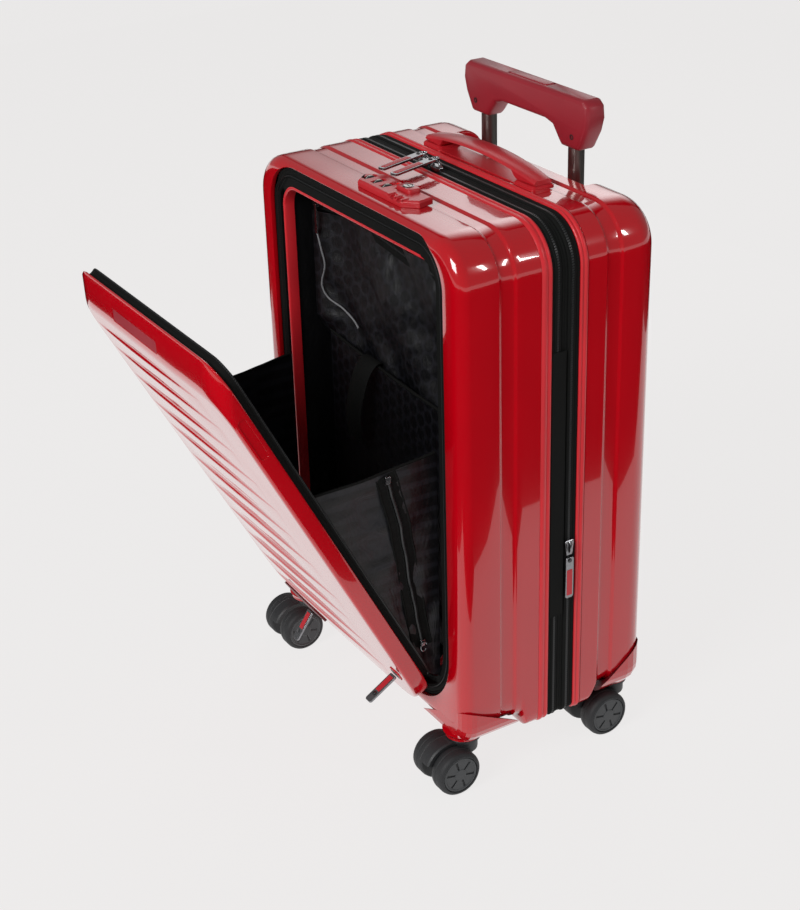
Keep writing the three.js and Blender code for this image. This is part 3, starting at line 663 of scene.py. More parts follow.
def bands():
    """Fabric rolls with a zip between them, and the flat selvedges beside the trims."""
    specs = [("front_zip_tape_cloth", "front_case", "front_zip_tape",
              arc_profile(-7.2, -4.6, 1.1, 0.5) + arc_profile(-4.4, -1.2, 0.9, 0.9)),
             ("middle_band_cloth", "middle", "middle_band",
              arc_profile(-0.8, 2.6, 0.9, 0.9) + arc_profile(2.8, 6.4, 1.6, 0.5)
              + arc_profile(6.6, 9.6, 1.6, 0.5) + arc_profile(9.8, 13.8, 0.9, 1.0)),
             ("rear_zip_tape_cloth", "rear_case", "rear_zip_tape",
              arc_profile(14.2, 18.0, 0.9, 1.0) + arc_profile(18.2, 22.0, 1.1, 0.5))]
    for name, body, node, outer in specs:
        profile = outer + [(outer[-1][0], 3.2), (outer[0][0], 3.2)]
        ring(name, band_outline, profile, TAPE, body, "black_tape", smooth=60, stands_for=[node])


def along_outline(outline, pitch):
    """Evenly spaced (x, z) points with their outward directions."""
    closed = np.vstack([outline, outline[:1]])
    lengths = np.r_[0, np.cumsum(np.linalg.norm(np.diff(closed, axis=0), axis=1))]
    places = np.arange(0, lengths[-1], pitch)
    x = np.interp(places, lengths, closed[:, 0])
    z = np.interp(places, lengths, closed[:, 1])
    ahead = np.roll(np.stack([x, z], 1), -1, axis=0) - np.roll(np.stack([x, z], 1), 1, axis=0)
    ahead /= np.linalg.norm(ahead, axis=1)[:, None]
    return np.stack([x, z], 1), np.stack([ahead[:, 1], -ahead[:, 0]], 1), ahead


def teeth(name, outline, y, reach, material, body, slot, pitch=2.3, matrix=None):
    """The zip's coil: one small rounded bar per turn, each leaning a little along the zip."""
    centres, outward, ahead = along_outline(outline, pitch)
    points, faces = [], []
    for centre, out, along in zip(centres, outward, ahead):
        for level, high in ((-0.5, 0.0), (-0.35, 0.55), (0.35, 0.55), (0.5, 0.0)):
            for side in (-0.32, 0.32):
                shift = along * (side + level * 0.35) * pitch + out * high
                points.append((centre[0] + shift[0], y + level * 2 * reach, centre[1] + shift[1]))
        start = len(points) - 8
        for k in range(3):
            a = start + 2 * k
            faces.append((a, a + 1, a + 3, a + 2))
        faces.append((start, start + 6, start + 7, start + 1))
        faces.append((start, start + 2, start + 4, start + 6))
        faces.append((start + 1, start + 7, start + 5, start + 3))
    return place(name, points, faces, material, body, slot, smooth=30, matrix=matrix)


def zips():
    teeth("main_zip_coil", band_outline(0.7), -1.0, 1.5, COIL, "middle", "black_tape")
    teeth("expansion_zip_coil", band_outline(0.6), 14.0, 1.6, COIL, "rear_case", "black_tape")


def expansion_gusset():
    """Pleated fabric between the two halves, packed away while the expansion zip is shut."""
    pleats, depth, steps = 12, 38, 24
    profile = [(1.0 + depth * t, 4.9 + 0.35 * math.cos(t * math.pi * pleats))
               for t in (i / steps for i in range(steps + 1))]
    profile += [(y, inset + 0.7) for y, inset in reversed(profile)]
    gusset = ring("expansion_gusset_cloth", band_outline, profile, TAPE, "middle", "black_tape", smooth=60,
                  stands_for=["expansion_gusset"])


def hinge_strip():
    """The fabric hinge: a straight strip on the side, from the middle band to the front half."""
    x = HALF_WIDTH - 0.4
    section = [(x, -7), (x + 0.9, -6.4), (x + 1.1, 0.7), (x + 0.9, 7.8), (x, 8.5), (x + 0.1, 0.7)]
    rows = [np.array([(sx, sy, z) for sx, sy in section]) for z in (162 + 268 * i / 60 for i in range(61))]
    strip = stack("hinge_cloth", rows, TAPE, None, "black_tape", caps=True, stands_for=["hinge_strip"])
    row_point(178, 1, 300)
    row_point(178, -6, 300)
    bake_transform(strip)


# ---------------------------------------------------------------- pocket
def pocket_rims():
    tape = [(-98.6, 0.4), (-98.9, 2.6), (-98.4, 3.1), (-98.9, 3.7), (-98.9, 6.6), (-98.4, 7.1), (-98.8, 7.7),
            (-98.7, 9.2), (-97.6, 10.3), (-92.4, 10.6), (-91.9, 11.4), (-92.2, 13.8), (-91.8, 14.3),
            (-92.2, 14.9), (-92.0, 16.6), (-90.7, 16.6), (-90.7, 9.3), (-97.3, 9.2), (-97.4, 0.4)]
    cloth = ring("opening_tape_cloth", opening_outline, tape, TAPE, "front_case", "black_tape", smooth=35,
                 stands_for=["opening_tape"])
    slide_depth(cloth, -97.0, -98.4, top=True)
    teeth("opening_zip_coil", opening_outline(8.2), -99.2, 1.1, COIL, "front_case", "black_tape", pitch=2.1)
    bead = [(-98.6, 17.2), (-98.9, 18.4), (-98.6, 19.8), (-97.6, 20.4), (-88.2, 20.4), (-88.2, 17.0),
            (-97.8, 17.0)]

    def outline(inset):
        return rounded(OPENING_HALF - inset, 79.5 + inset, 538.2 - inset, OPENING_RADIUS - inset,
                       OPENING_FOOT_RADIUS + 4 - inset)

    frame_bead = ring("inner_frame_bead", outline, bead, TRIM_RED, "front_case", "satin_red", smooth=60,
                      stands_for=["inner_frame"])
    slide_depth(frame_bead, -103.0, -93.4)


def slide_depth(obj, over, limit, top=False):
    """On the hinge side, points in front of one depth or behind another slide to a limit: the tape lies flat
    there and hides the inner frame. It can do the same along the top, where it also narrows."""
    for vertex in obj.data.vertices:
        x, y, z = vertex.co.x / MM, vertex.co.y / MM - Y_SHIFT, vertex.co.z / MM
        share = clamp((x - 112) / 18)
        if top:
            share = max(share, clamp((z - 506) / 14))
        if over < y:
            behind = 0.9 if limit < over and y > -91 else 0.0
            target = min(y, limit + behind) if limit < over else max(y, limit)
            vertex.co.y += (target - y) * share * MM
        if top and 506 < z < 526:
            vertex.co.z -= 3.4 * MM * min((z - 506) / 14, 1)


def ripple(x, z, scale, seed):
    return noise.fractal(Vector((x / scale + seed, z / scale, seed * 1.7)), 1.0, 2.0, 3)


def cloth_wall(name, xs, zs, depth, thickness, material, body, stands_for=()):
    """A hanging fabric panel: a grid in x and z whose depth comes from a function, with a back face."""
    points = [(x, depth(x, z) + behind, z) for behind in (0, thickness) for z in zs for x in xs]
    return place(name, points, two_sided(len(zs), len(xs)), material, body, "black_lining", smooth=70,
                 stands_for=stands_for)


def pocket_inside():
    """Side walls as a cup, and a back that sags forward with soft vertical folds."""
    fine = {"arc": 12, "straight": 24}
    centre = np.array([0, 305.0])
    rows = []
    for t in (k / 8 for k in range(9)):
        y = -87.5 + 38.6 * t
        outline = opening_outline(18.6, **fine)
        calm = math.sin(math.pi * t)
        folds = np.array([1.2 * ripple(x + 3 * y, z, 34, 3) for x, z in outline]) * calm
        inward = (centre - outline) / np.linalg.norm(centre - outline, axis=1)[:, None]
        rows.append(at(outline + inward * (folds[:, None] + 0.6 * calm), y))
    for inset, y in ((30, -48.4), (80, -48.2), (80, -46.4), (17.0, -46.4), (17.0, -87.5)):
        rows.append(at(opening_outline(inset, **fine), y))
    cup = stack("pocket_cup", rows, PLAIN_LINING, "front_case", "black_lining", closed=True, smooth=80,
                stands_for=["pocket_liner"])

    def back(x, z):
        fall = math.sin(clamp((x + 124) / 248) * math.pi) ** 0.6
        along = x * 0.74 + z * 0.67
        pull = math.sin(along / 9.5 + 0.9 * math.sin(along / 31)) + 0.6 * math.sin(along / 17 + 2)
        crumple = 2.4 * ripple(x, z, 30, 7) + bunch(x) / 5 * ripple(x, z, 11, 31)
        return -55.5 + fall * (3.6 * pull + crumple) - bunch(x) * clamp((z - 352) / 30)

    panel = cloth_wall("pocket_back", np.linspace(-127, 127, 90), np.linspace(345, 490, 50), back, 0.8,
                       LINING, "front_case")


def bunch(x):
    """How far the pocket's back comes forward near the slider, where the cloth bunches up."""
    return 17 * math.exp(-((x + 127) / 26) ** 2)


def interior_zip():
    """A zip across the top of the pocket's back, falling towards the right, with its slider at the left."""
    def line(t):
        return -124 + 252 * t, 504 - 28 * t - 5 * math.sin(t * math.pi)

    section = ((-56.0, -9), (-56.6, -2), (-56.2, 0), (-56.6, 2), (-56.0, 9), (-55.2, 9), (-55.2, -9))
    rows = [np.array([(x, y - bunch(x), z + dz) for y, dz in section])
            for x, z in (line(i / 40) for i in range(41))]
    stack("pocket_zip_tape", rows, TAPE, "front_case", "black_tape", caps=True, smooth=35)
    points, faces = [], []
    for x, z in (line(i / 111) for i in range(112)):
        for dy, dz in ((-57.3, -1.1), (-57.3, 1.1), (-56.3, 1.4), (-56.3, -1.4)):
            points += [(x + dx, dy - bunch(x), z + dz) for dx in (-0.6, 0.6)]
        s = len(points) - 8
        faces += [(s, s + 1, s + 3, s + 2), (s + 2, s + 3, s + 5, s + 4), (s + 6, s + 7, s + 1, s),
                  (s + 4, s + 5, s + 7, s + 6), (s, s + 2, s + 4, s + 6), (s + 1, s + 7, s + 5, s + 3)]
    place("pocket_zip_coil", points, faces, COIL, "front_case", "black_tape", smooth=30)
    x, z = line(0.04)
    y = -57.6 - bunch(x)
    for name, low, high in (("pocket_slider", (x - 4, y - 4, z - 5), (x + 4, y, z + 5)),
                            ("pocket_puller", (x - 2.5, y - 5.4, z - 32), (x + 2.5, y - 4.2, z - 2))):
        bevel(slab(name, low, high, ZIP_METAL, "front_case", "zip_metal"), 0.7)
    seam = [(-118, 472), (-114, 454), (-111, 437), (-115, 417), (-109, 404), (-94, 396), (-78, 388),
            (-70, 382)]
    path = smooth_path([(x, -58.2 - bunch(x), z) for x, z in seam], 6)
    rod("pocket_piping", path, 0.9, CORD, "front_case", "black_lining", sides=8)


def corner_lift(x, reach):
    """How much higher the sleeve's top edge stands towards the left."""
    return 12 * ((reach - x) / (2 * reach)) ** 2


def lift_corner(obj, reach, low, high):
    """The sleeve's top edge rises towards the left."""
    for vertex in obj.data.vertices:
        share = (vertex.co.z / MM - low) / (high - low)
        vertex.co.z += max(0.0, share) * corner_lift(vertex.co.x / MM, reach) * MM


def laptop_sleeve():
    """Padded divider with a bound top edge, and a flat strap with a loop fastener over it."""
    low, high, reach = 100.0, 354.0, 119.0
    xs = np.linspace(-reach, reach, 60)

    def front(x, z):
        puff = (1 - (abs(x) / reach) ** 6) * math.sin(math.pi * min(1,
                                                                    (z - low + 6) / (high - low + 12))) ** 0.4
        return -62.4 - 1.9 * puff + 0.45 * ripple(x, z, 45, 11)

    def behind(x, z):
        return -49.6 + 0.2 * ripple(x, z, 60, 2)

    panel = cloth_wall("sleeve_front", xs, np.linspace(low, high - 2, 66), front, 1.6, LINING, "front_case",
                       stands_for=["laptop_sleeve"])
    lift_corner(panel, reach, low, high)
    back = cloth_wall("sleeve_back", xs, np.linspace(low, high, 30), behind, 1.0, PLAIN_LINING, "front_case")
    lift_corner(back, reach, low, high)
    for side, word in SIDES:
        edge = [(side * reach, -63.6), (side * (reach + 0.8), -56), (side * reach, -48.8),
                (side * (reach - 1), -56)]
        rows = [np.array([(x, y, z) for x, y in edge]) for z in np.linspace(low, high - 2, 12)]
        gore = stack("sleeve_side_" + word, rows, PLAIN_LINING, "front_case", "black_lining", caps=True)
    binding = [(x, front(x, high - 2) + 0.8, high - 1 + corner_lift(x, reach)) for x in xs]
    rod("sleeve_binding", binding, 1.7, TAPE, "front_case", "black_tape")
    path = smooth_path([(-50, 338), (-53, 352), (-59, 361), (-66, 361), (-73, 354), (-79, 340), (-83, 322),
                        (-84, 300), (-81, 280)], 6)
    edge = [(-52, 0), (-51, 1), (-25, 1), (-24, 0), (-25, -1), (-51, -1)]
    rows = []
    for i, (y, z) in enumerate(path):
        before, after = path[max(i - 1, 0)], path[min(i + 1, len(path) - 1)]
        along = Vector((after[0] - before[0], after[1] - before[1])).normalized()
        out = (along.y * 0.6, -along.x * 0.6)
        drift = -0.10 * (338 - min(z, 338))
        rows.append(np.array([(x + drift, y + out[0] * side, z + out[1] * side) for x, side in edge]))
    strap = stack("sleeve_strap", rows, TAPE, "front_case", "black_tape", caps=True, smooth=35)


def smooth_path(points, parts):
    """A curve through the points, with a number of parts between each pair."""
    p = [np.array(q, float) for q in points]
    p = [2 * p[0] - p[1]] + p + [2 * p[-1] - p[-2]]
    curve = []
    for a, b, c, d in zip(p, p[1:], p[2:], p[3:]):
        for k in range(parts):
            t = k / parts
            curve.append(0.5 * (2 * b + (c - a) * t + (2 * a - 5 * b + 4 * c - d) * t ** 2
                                + (3 * b - a - 3 * c + d) * t ** 3))
    curve.append(p[-2])
    return curve


def linings():
    """Fabric behind the pocket and inside the rear half."""
    def divider(x, z):
        return -44.2 + (0.35 * ripple(x, z, 50, 5) if abs(x) < 135 and 95 < z < 500 else 0.0)

    def back(x, z):
        return 77.0 + 0.4 * ripple(x, z, 60, 9)

    rim = ring("divider_rim", case_outline, [(-45.6, 6.6), (-44.5, 6.4), (-44.4, 60.0), (-45.5, 60.0)],
               PLAIN_LINING, "front_case", "black_lining", stands_for=["divider_panel"])
    sheet = cloth_wall("divider_sheet", np.linspace(-170, 170, 50), np.linspace(66, 536, 60), divider, 0.7,
                       LINING, "front_case")
    trim_corners(sheet, 170, 66, 536, 38)
    cup = [(42, 7.2), (60, 7.4), (74, 7.8), (77.4, 12), (77.9, 60), (78.9, 60), (78.9, 8), (42, 6.9)]
    wall = ring("rear_lining_cup", case_outline, cup, LINING, "rear_case", "black_lining", smooth=60,
                stands_for=["rear_lining"])
    sheet = cloth_wall("rear_lining_sheet", np.linspace(-150, 150, 50), np.linspace(80, 520, 60), back, 0.8,
                       LINING, "rear_case")


# ---------------------------------------------------------------- lid
LID_MATRIX = Matrix.Translation(LID_HINGE) @ Matrix.Rotation(LID_ANGLE, 4, "X")
RIBS = (40, 69, 103, 140, 182, 220, 263, 294, 331, 367, 398)
RIB_HEIGHT = 2.0
RIB_CLIMB = 30.0
RIB_STEP = 3.0
LID_PULLERS = {"left": (-77, 12, 35), "right": (124, 57, 59)}  # x, distance up the lid, lean in degrees
LINING_HALF, LINING_LOW, LINING_TOP, LINING_RADIUS = 136.0, 20.0, 434.0, 37.0


def spindle(x, start, end):
    """Rises from zero at one end of a rib and tapers to a point at the other."""
    t = clamp((x - start) / (end - start))
    return max(0.0, math.sin(math.pi * t ** 0.8)) ** 0.8


def rib_relief(x, s):
    """Each rib climbs gently up the lid and drops back in a narrow step."""
    height = 0.0
    for number, place_s in enumerate(RIBS):
        away = s - (place_s + 0.02 * x)
        reach = RIB_HEIGHT * spindle(x, -138, 92 - 7 * (number % 3))
        if -RIB_CLIMB < away <= 0:
            height = max(height, reach * (1 + away / RIB_CLIMB))
        elif 0 < away < RIB_STEP:
            height = max(height, reach * smooth_step(1 - away / RIB_STEP))
    return height


def lid_face():
    """The ribbed face: a fine grid inside the lid's outline, level with it all round."""
    inset = 6.0
    low, high, half = LID_FOOT + inset, LID_CREASE - inset, LID_HALF - inset
    levels, across = np.linspace(low, high, 420), np.linspace(-1, 1, 110)
    points = []
    for s in levels:
        near = min(s - low, high - s)
        radius = (LID_FOOT_RADIUS if s - low < high - s else LID_RADIUS) - inset
        rest = math.sqrt(max(0, radius ** 2 - max(0, radius - near) ** 2))
        width = half - radius + rest
        calm = min(1, near / 8)
        for x in across * width:
            edge = min(1, (width - abs(x)) / 5)
            points.append((x, -LID_THICKNESS - calm * edge * rib_relief(x, s), s))
    faces = grid_faces(len(levels), len(across), closed_columns=False)
    place("lid_face", points, faces, GLOSS_RED, "lid", "gloss_red", smooth=80, matrix=LID_MATRIX)


def lid_shell():
    """The lid's rim, a bevelled band at its top with a recessed blank plate, and a dent in its edge."""
    top, fold = LID_LENGTH, LID_CREASE
    stations = [(0.0, 7.6, top), (0.0, 4.6, top), (-0.5, 4.0, top), (-1.2, 4.0, top), (-1.5, 4.5, top),
                (-1.7, 2.2, top), (-0.9, 1.6, top), (-0.9, 0.5, top), (-1.6, 0.0, top),
                (-3.4, 0.0, top - 1.2),
                (-13.4, 0.1, fold + 6.8), (-14.8, 0.5, fold + 3.4), (-15.8, 1.5, fold + 1.2),
                (-16.4, 3.2, fold + 0.2), (-LID_THICKNESS, 6.0, fold), (-15.2, 6.4, fold),
                (-13.5, 3.2, fold - 2), (-1.0, 7.0, top - 2)]
    rows = [at(lid_outline(inset, high=high, arc=18, straight=24), y) for y, inset, high in stations]
    shell = stack("lid_shell", rows, GLOSS_RED, "lid", "gloss_red", closed=True, smooth=50, matrix=LID_MATRIX,
                  stands_for=["lid_panel"])
    slope = math.atan2(13.3, 27.2)
    middle = LID_MATRIX @ Matrix.Translation((-18, -12.2, LID_CREASE + 9)) @ Matrix.Rotation(-slope, 4, "X")
    hollow = rounded(46.5, -6.2, 6.2, 2.2, 2.2, arc=5, straight=1)
    patch = rounded(4, 357, 402, 3, 3, arc=6, straight=1) - (8.5, 0)
    cut(shell, [prism("dent", patch, LID_HALF - 0.8, LID_HALF + 2, 0, GLOSS_RED, matrix=LID_MATRIX),
                prism("recess", hollow, -3.0, 0.9, 1, GLOSS_RED, matrix=middle)])
    bevel(shell, 0.4, 2, 50)
    small = rounded(45.6, -5.3, 5.3, 1.6, 1.6, arc=5, straight=1)
    bevel(prism("plate", small, 0.2, 1.3, 1, GRIP_RED, "lid", "satin_red", matrix=middle), 0.3)


def lid_edge():
    """The standing tape with its zip, and the lining on the inside."""
    tape = [(0.3, 6.0), (4.4, 5.8), (4.8, 5.4), (6.6, 5.2), (8.3, 5.6), (8.6, 6.6), (8.2, 7.8), (0.3, 7.8)]

    def outline(inset):
        return lid_outline(inset, high=LID_LENGTH + 1.0, low=LID_FOOT + 6.0)

    def sag(x, z):
        corner = abs(x) > LINING_HALF - 26 and (z < LINING_LOW + 26 or z > LINING_TOP - 26)
        return -2.2 + (0.0 if corner else 0.5 * ripple(x, z, 46, 13))

    ring("lid_tape_cloth", outline, tape, TAPE, "lid", "black_tape", matrix=LID_MATRIX, smooth=35,
         stands_for=["lid_tape"])
    teeth("lid_zip_coil", outline(5.4), 7.3, 0.9, COIL, "lid", "black_tape", pitch=2.1, matrix=LID_MATRIX)
    lining = cloth_wall("lid_lining_cloth", np.linspace(-LINING_HALF, LINING_HALF, 40),
                        np.linspace(LINING_LOW, LINING_TOP, 60), sag, 0.8, LINING, None,
                        stands_for=["lid_lining"])
    trim_corners(lining, LINING_HALF, LINING_LOW, LINING_TOP, LINING_RADIUS)
    move(lining, LID_MATRIX)
    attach(lining, "lid")


def trim_corners(obj, half, low, high, radius):
    """Pulls a panel's corner points in to a rounded outline."""
    for vertex in obj.data.vertices:
        x, z = vertex.co.x / MM, vertex.co.z / MM
        for level, sign in ((high - radius, 1), (low + radius, -1)):
            dx, dz = abs(x) - (half - radius), (z - level) * sign
            length = math.hypot(dx, dz)
            if dx > 0 and dz > 0 and length > radius:
                shrink = radius / length
                vertex.co.x = math.copysign((half - radius + dx * shrink) * MM, x)
                vertex.co.z = (level + sign * dz * shrink) * MM


def move(obj, matrix):
    """Takes a finished piece from upright case axes by a matrix given in those axes."""
    for vertex in obj.data.vertices:
        point = Vector((vertex.co.x / MM, vertex.co.y / MM - Y_SHIFT, vertex.co.z / MM))
        vertex.co = row_point(*(matrix @ point))


def lid_slot(name, x, s):
    """A small mouth in the lid that a puller comes out of, in a raised rim; the mouth is a flat near-black
    plate, painted shade for the slot's inside.
    """
    for word, half, high, radius, arc, depths, material, edge in (
            ("", 8.0, 5.2, 2.4, 5, (-17.5, -16.0), GLOSS_RED, 0.5),
            # painted shade: the mouth is a flat near-black plate standing for the shaded inside of the slot
            ("_mouth", 6.0, 3.4, 1.2, 4, (-17.7, -17.2), PAINTED_HOLE_SHADE, 0.15)):
        outline = rounded(half, s - high, s + high, radius, radius, arc=arc, straight=1) + (x, 0)
        bevel(prism(name + word, outline, *depths, 1, material, "lid", "gloss_red", matrix=LID_MATRIX), edge)


def puller(name, length, width, thickness, matrix, insert_first=True):
    """A metal frame with a red insert; the far end stays bare. It hangs down from its own origin."""
    half, deep = width / 2, thickness / 2
    outline = [(-half + 1, 0), (half - 1, 0), (half, -1.2), (half, -length + 1.6), (half - 1.6, -length),
               (-half + 1.6, -length), (-half, -length + 1.6), (-half, -1.2)]
    bevel(prism(name + "_metal", outline, -deep, deep, 1, ZIP_METAL, name, "zip_metal", matrix=matrix,
                stands_for=[name]), 0.35)
    high, low = (-2.6, -length * 0.62) if insert_first else (-length * 0.3, -length + 3)
    inner = half - 1.5
    insert = [(-inner, high), (inner, high), (inner, low), (-inner, low)]
    for level, word in ((-deep, "front"), (deep, "back")):
        bevel(prism(f"{name}_insert_{word}", insert, level - 0.35, level + 0.35, 1, INSERT_RED, name,
                    "satin_red", matrix=matrix), 0.25)
    eye = low - 3.4 if insert_first else -3.2
    profile = [(2.2, -deep - 0.5), (1.2, -deep - 0.8), (1.2, deep + 0.8), (2.2, deep + 0.5)]
    lathe(f"{name}_rivet", profile, 1, (0, 0, eye), SCREW_METAL, name, "zip_metal", steps=20, matrix=matrix)


def lid_pullers():
    recess = [(-122, 27), (-116, 31), (-60, 21), (-46, 19), (-46, 14.5), (-80, 14), (-104, 18)]
    # painted shade: a flat dark-red patch on the face stands for the shaded recess near the left puller
    bevel(prism("lid_recess", recess, -18.4, -16.0, 1, PAINTED_SHADE_RED, "lid", "gloss_red", matrix=LID_MATRIX), 0.4)
    lid_slot("lid_slot_right", *LID_PULLERS["right"][:2])
    for word, (x, s, lean) in LID_PULLERS.items():
        matrix = LID_MATRIX @ Matrix.Translation((x, -LID_THICKNESS - 2.6, s))
        matrix = matrix @ Matrix.Rotation(-LID_ANGLE - math.radians(lean), 4, "X")
        puller(f"lid_puller_{word}", 34, 9, 2.4, matrix)


# ---------------------------------------------------------------- gussets
GUSSET_X = 133.7
CASE_EDGE = (-100.2, 108.0, 344.0)  # depth, lower and upper height where a gusset meets the case
LID_EDGE = (48.0, 288.0)  # the same on the lid, as distances from the hinge


def gusset_point(u, v, side):
    """u runs from the case to the lid and v up; the upper edge hangs in a shallow curve."""
    up = Vector((0, -math.sin(LID_ANGLE), math.cos(LID_ANGLE)))
    out = Vector((0, -math.cos(LID_ANGLE), -math.sin(LID_ANGLE)))
    low, high = (Vector(LID_HINGE) + up * reach - out * 2.2 for reach in LID_EDGE)
    depth, case_low, case_high = CASE_EDGE
    near = Vector((0, depth, case_low + (case_high - case_low) * v))
    point = near.lerp(low.lerp(high, v), u)
    slack = math.sin(math.pi * u)
    point.z -= slack * 3 * max(0, v) ** 4
    wave = 2.2 * math.sin(u * 9 + v * 14) + 4.0 * ripple(u * 60, v * 200, 26, 21 + side)
    point.x = side * (GUSSET_X + slack * min(1, v * 4) * (0.6 * wave - 2.0))
    return point


def gussets():
    count, rows = 36, 70
    for side, word in SIDES:
        points = []
        for thick in (0.0, 0.6):
            for v in np.linspace(0, 1, rows):
                line = [gusset_point(u, v, side) for u in np.linspace(0, 1, count)]
                points += [(p.x + side * thick, p.y, p.z) for p in line]
        cloth = place(f"gusset_{word}_cloth", points, two_sided(rows, count), LINING, None, "black_lining",
                      smooth=80, stands_for=[f"gusset_{word}"])
        blend_to_lid(cloth)
        extras = [hem(word, side)]
        if side > 0:
            extras += curved_zip(side)


def blend_to_lid(obj):
    row_point(0, -101, 200)
    row_point(0, -150, 200)
    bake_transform(obj)


def hem(word, side):
    path = [gusset_point(u, 1.0, side) for u in np.linspace(0.01, 0.99, 30)]
    piece = rod(f"gusset_{word}_hem", path, 1.3, TAPE, None, "black_tape", sides=8)
    blend_to_lid(piece)
    return piece


def curved_zip(side):
    """The zip that lets the gusset open: down from the middle of the hem, bending towards the case."""
    def on_zip(t):
        return gusset_point(0.40 - 0.12 * t + 0.22 * t * t, 0.985 - 0.84 * t, side)

    def above(t, lift):
        return on_zip(t) + Vector((side * lift, 0, 0))

    section = ((-11, 1.0), (-10, 1.7), (-9, 1.1), (-3.2, 1.2), (-2.4, 2.0), (0, 1.1), (2.4, 2.0), (3.2, 1.2),
               (9, 1.1), (10, 1.7), (11, 1.0), (11, 0.4), (-11, 0.4))
    rows = []
    for t in np.linspace(0, 1, 60):
        ahead = on_zip(min(t + 0.01, 1)) - on_zip(max(t - 0.01, 0))
        across = ahead.cross(Vector((1, 0, 0))).normalized()
        lift = Vector((side * 1.2, 0, 0))
        rows.append(np.array([on_zip(t) + across * wide + lift * high for wide, high in section]))
    pieces = [stack("gusset_zip_tape", rows, TAPE, None, "black_tape", caps=True, smooth=35)]
    path = [above(t, 2.1) for t in np.linspace(0.0, 0.99, 110)]
    pieces.append(rod("gusset_zip_coil", path, 1.4, COIL, None, "black_tape", sides=6))
    for name, t, size in (("gusset_zip_stop", 0.02, (1.8, 2.8, 3.6)),
                          ("gusset_zip_slider", 0.97, (1.6, 2.4, 3.4))):
        point = np.array(above(t, 2.6))
        block = slab(name, point - size, point + size, ZIP_METAL, None, "zip_metal")
        pieces.append(baked(bevel(block, 0.6)))
    centre = above(0.97, 4.6)
    loop = [centre + Vector((0.6, 3.4 * math.cos(a), 4.6 * math.sin(a) - 3))
            for a in np.linspace(0.4, 5.6, 22)]
    pieces.append(rod("gusset_zip_slider_ring", loop, 0.8, ZIP_METAL, None, "zip_metal", sides=8))
    for piece in pieces:
        blend_to_lid(piece)
    return pieces


# ---------------------------------------------------------------- handles
def trolley():
    """The tray that the handle folds into, and a socket, two telescoping tubes and a collar on each side."""
    half, front, low = 103.7, 80.1, 495.2
    wall = [(front, 543.6), (front, low), (109.4, low)]
    for angle in np.linspace(math.radians(78), 0, 10):
        wall.append((REAR - REAR_ROUND + 22.8 * math.sin(angle), TOP - REAR_ROUND + 22.8 * math.cos(angle)))
    look = (GLOSS_RED, "rear_case", "satin_red")
    parts = [slab("trolley_tray", (-half, front, low), (half, 110.0, 497.6), *look),
             slab("tray_wall", (-half, front, low), (half, 82.4, 544.6), *look)]
    parts += [prism(f"tray_side_{side}", wall, *sorted((side * 101.4, side * half)), 0, *look)
              for side in (-1, 1)]
    for part in parts:
        bevel(part, 0.6)
    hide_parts("trolley_housing")
    for side, word in SIDES:
        centre = (side * TUBE_X, TUBE_Y, 0)
        tube("socket_tube_" + word, 10.7, 9.6, 84, 494.9, centre, BLACK_PLASTIC, "rear_case")
        tube("stage_tube_" + word, 9.2, 7.9, 92, 498.6, centre, TUBE_METAL, "trolley_stage")
        tube("inner_tube_" + word, 7.5, 6.2, 148, 570, centre, TUBE_METAL, "trolley_grip")
        lathe("tube_collar_" + word, [(9.3, 497.0), (11.6, 497.2), (11.8, 499.6), (11.0, 500.6),
                                      (9.4, 500.8)], 2,
              centre, GRIP_RED, "rear_case", "satin_red", closed=True, smooth=30)


def tube(name, outer, bore, low, high, centre, material, body):
    profile = [(bore, low + 0.5), (outer - 0.5, low), (outer, low + 0.5), (outer, high - 0.5),
               (outer - 0.4, high), (bore + 0.3, high), (bore, high - 0.4)]
    lathe(name + "_wall", profile, 2, centre, material, body, "tube_grey", closed=True, smooth=30,
          stands_for=[name])


def grip():
    """The grip with its release button and four small screws."""
    half = [(91, 618), (97.5, 613), (99, 601), (95, 588), (85, 571), (82, 570), (60, 570), (56, 574),
            (46, 586), (34, 589)]
    outline = half + [(-x, z) for x, z in reversed(half)]
    inside, slim, screw_x = inset_outline(outline, 4.5), inset_outline(outline, 1.3), 77
    stations = ((85, inside), (86.2, slim), (89.5, outline), (102.5, outline), (105.8, slim), (107, inside))
    rows = [at(np.array(loop), y) for y, loop in stations]
    body = stack("grip_bar", rows, GRIP_RED, "trolley_grip", "grip_red", caps=True, smooth=25,
                 stands_for=["grip"])
    tools = [slab("pocket", (-31, 89.6, 613.4), (31, 102.4, 620), GRIP_RED)]
    for side in (-1, 1):
        tools.append(lathe("hole", [(7.6, 568), (7.6, 572)], 2, (side * TUBE_X, TUBE_Y, 0), GRIP_RED))
    cut(baked(bevel(body, 1.2, 3, 25)), tools)
    rows = []
    for z, inset in ((612.8, 0), (617.6, 0), (618.3, 0.5), (618.7, 1.6)):
        loop = rounded(30 - inset, -6 + inset, 6 - inset, 4 - inset, 4 - inset, arc=5, straight=2)
        rows.append(flat_loop(loop + (0, TUBE_Y), z))
    stack("grip_button_cap", rows, GRIP_RED, "grip_button", "grip_red", caps=True, smooth=40,
          stands_for=["grip_button"])
    for side in (-1, 1):
        for y, sign in ((85, -1), (107, 1)):
            head = [(2.6, y - sign * 1), (2.6, y + sign * 0.2), (1.2, y + sign * 0.2), (1.0, y - sign * 0.4)]
            lathe(f"grip_screw_{side}_{sign}", head, 1, (side * screw_x, 0, 582), SCREW_METAL, "trolley_grip",
                  "zip_metal", steps=20, smooth=30)


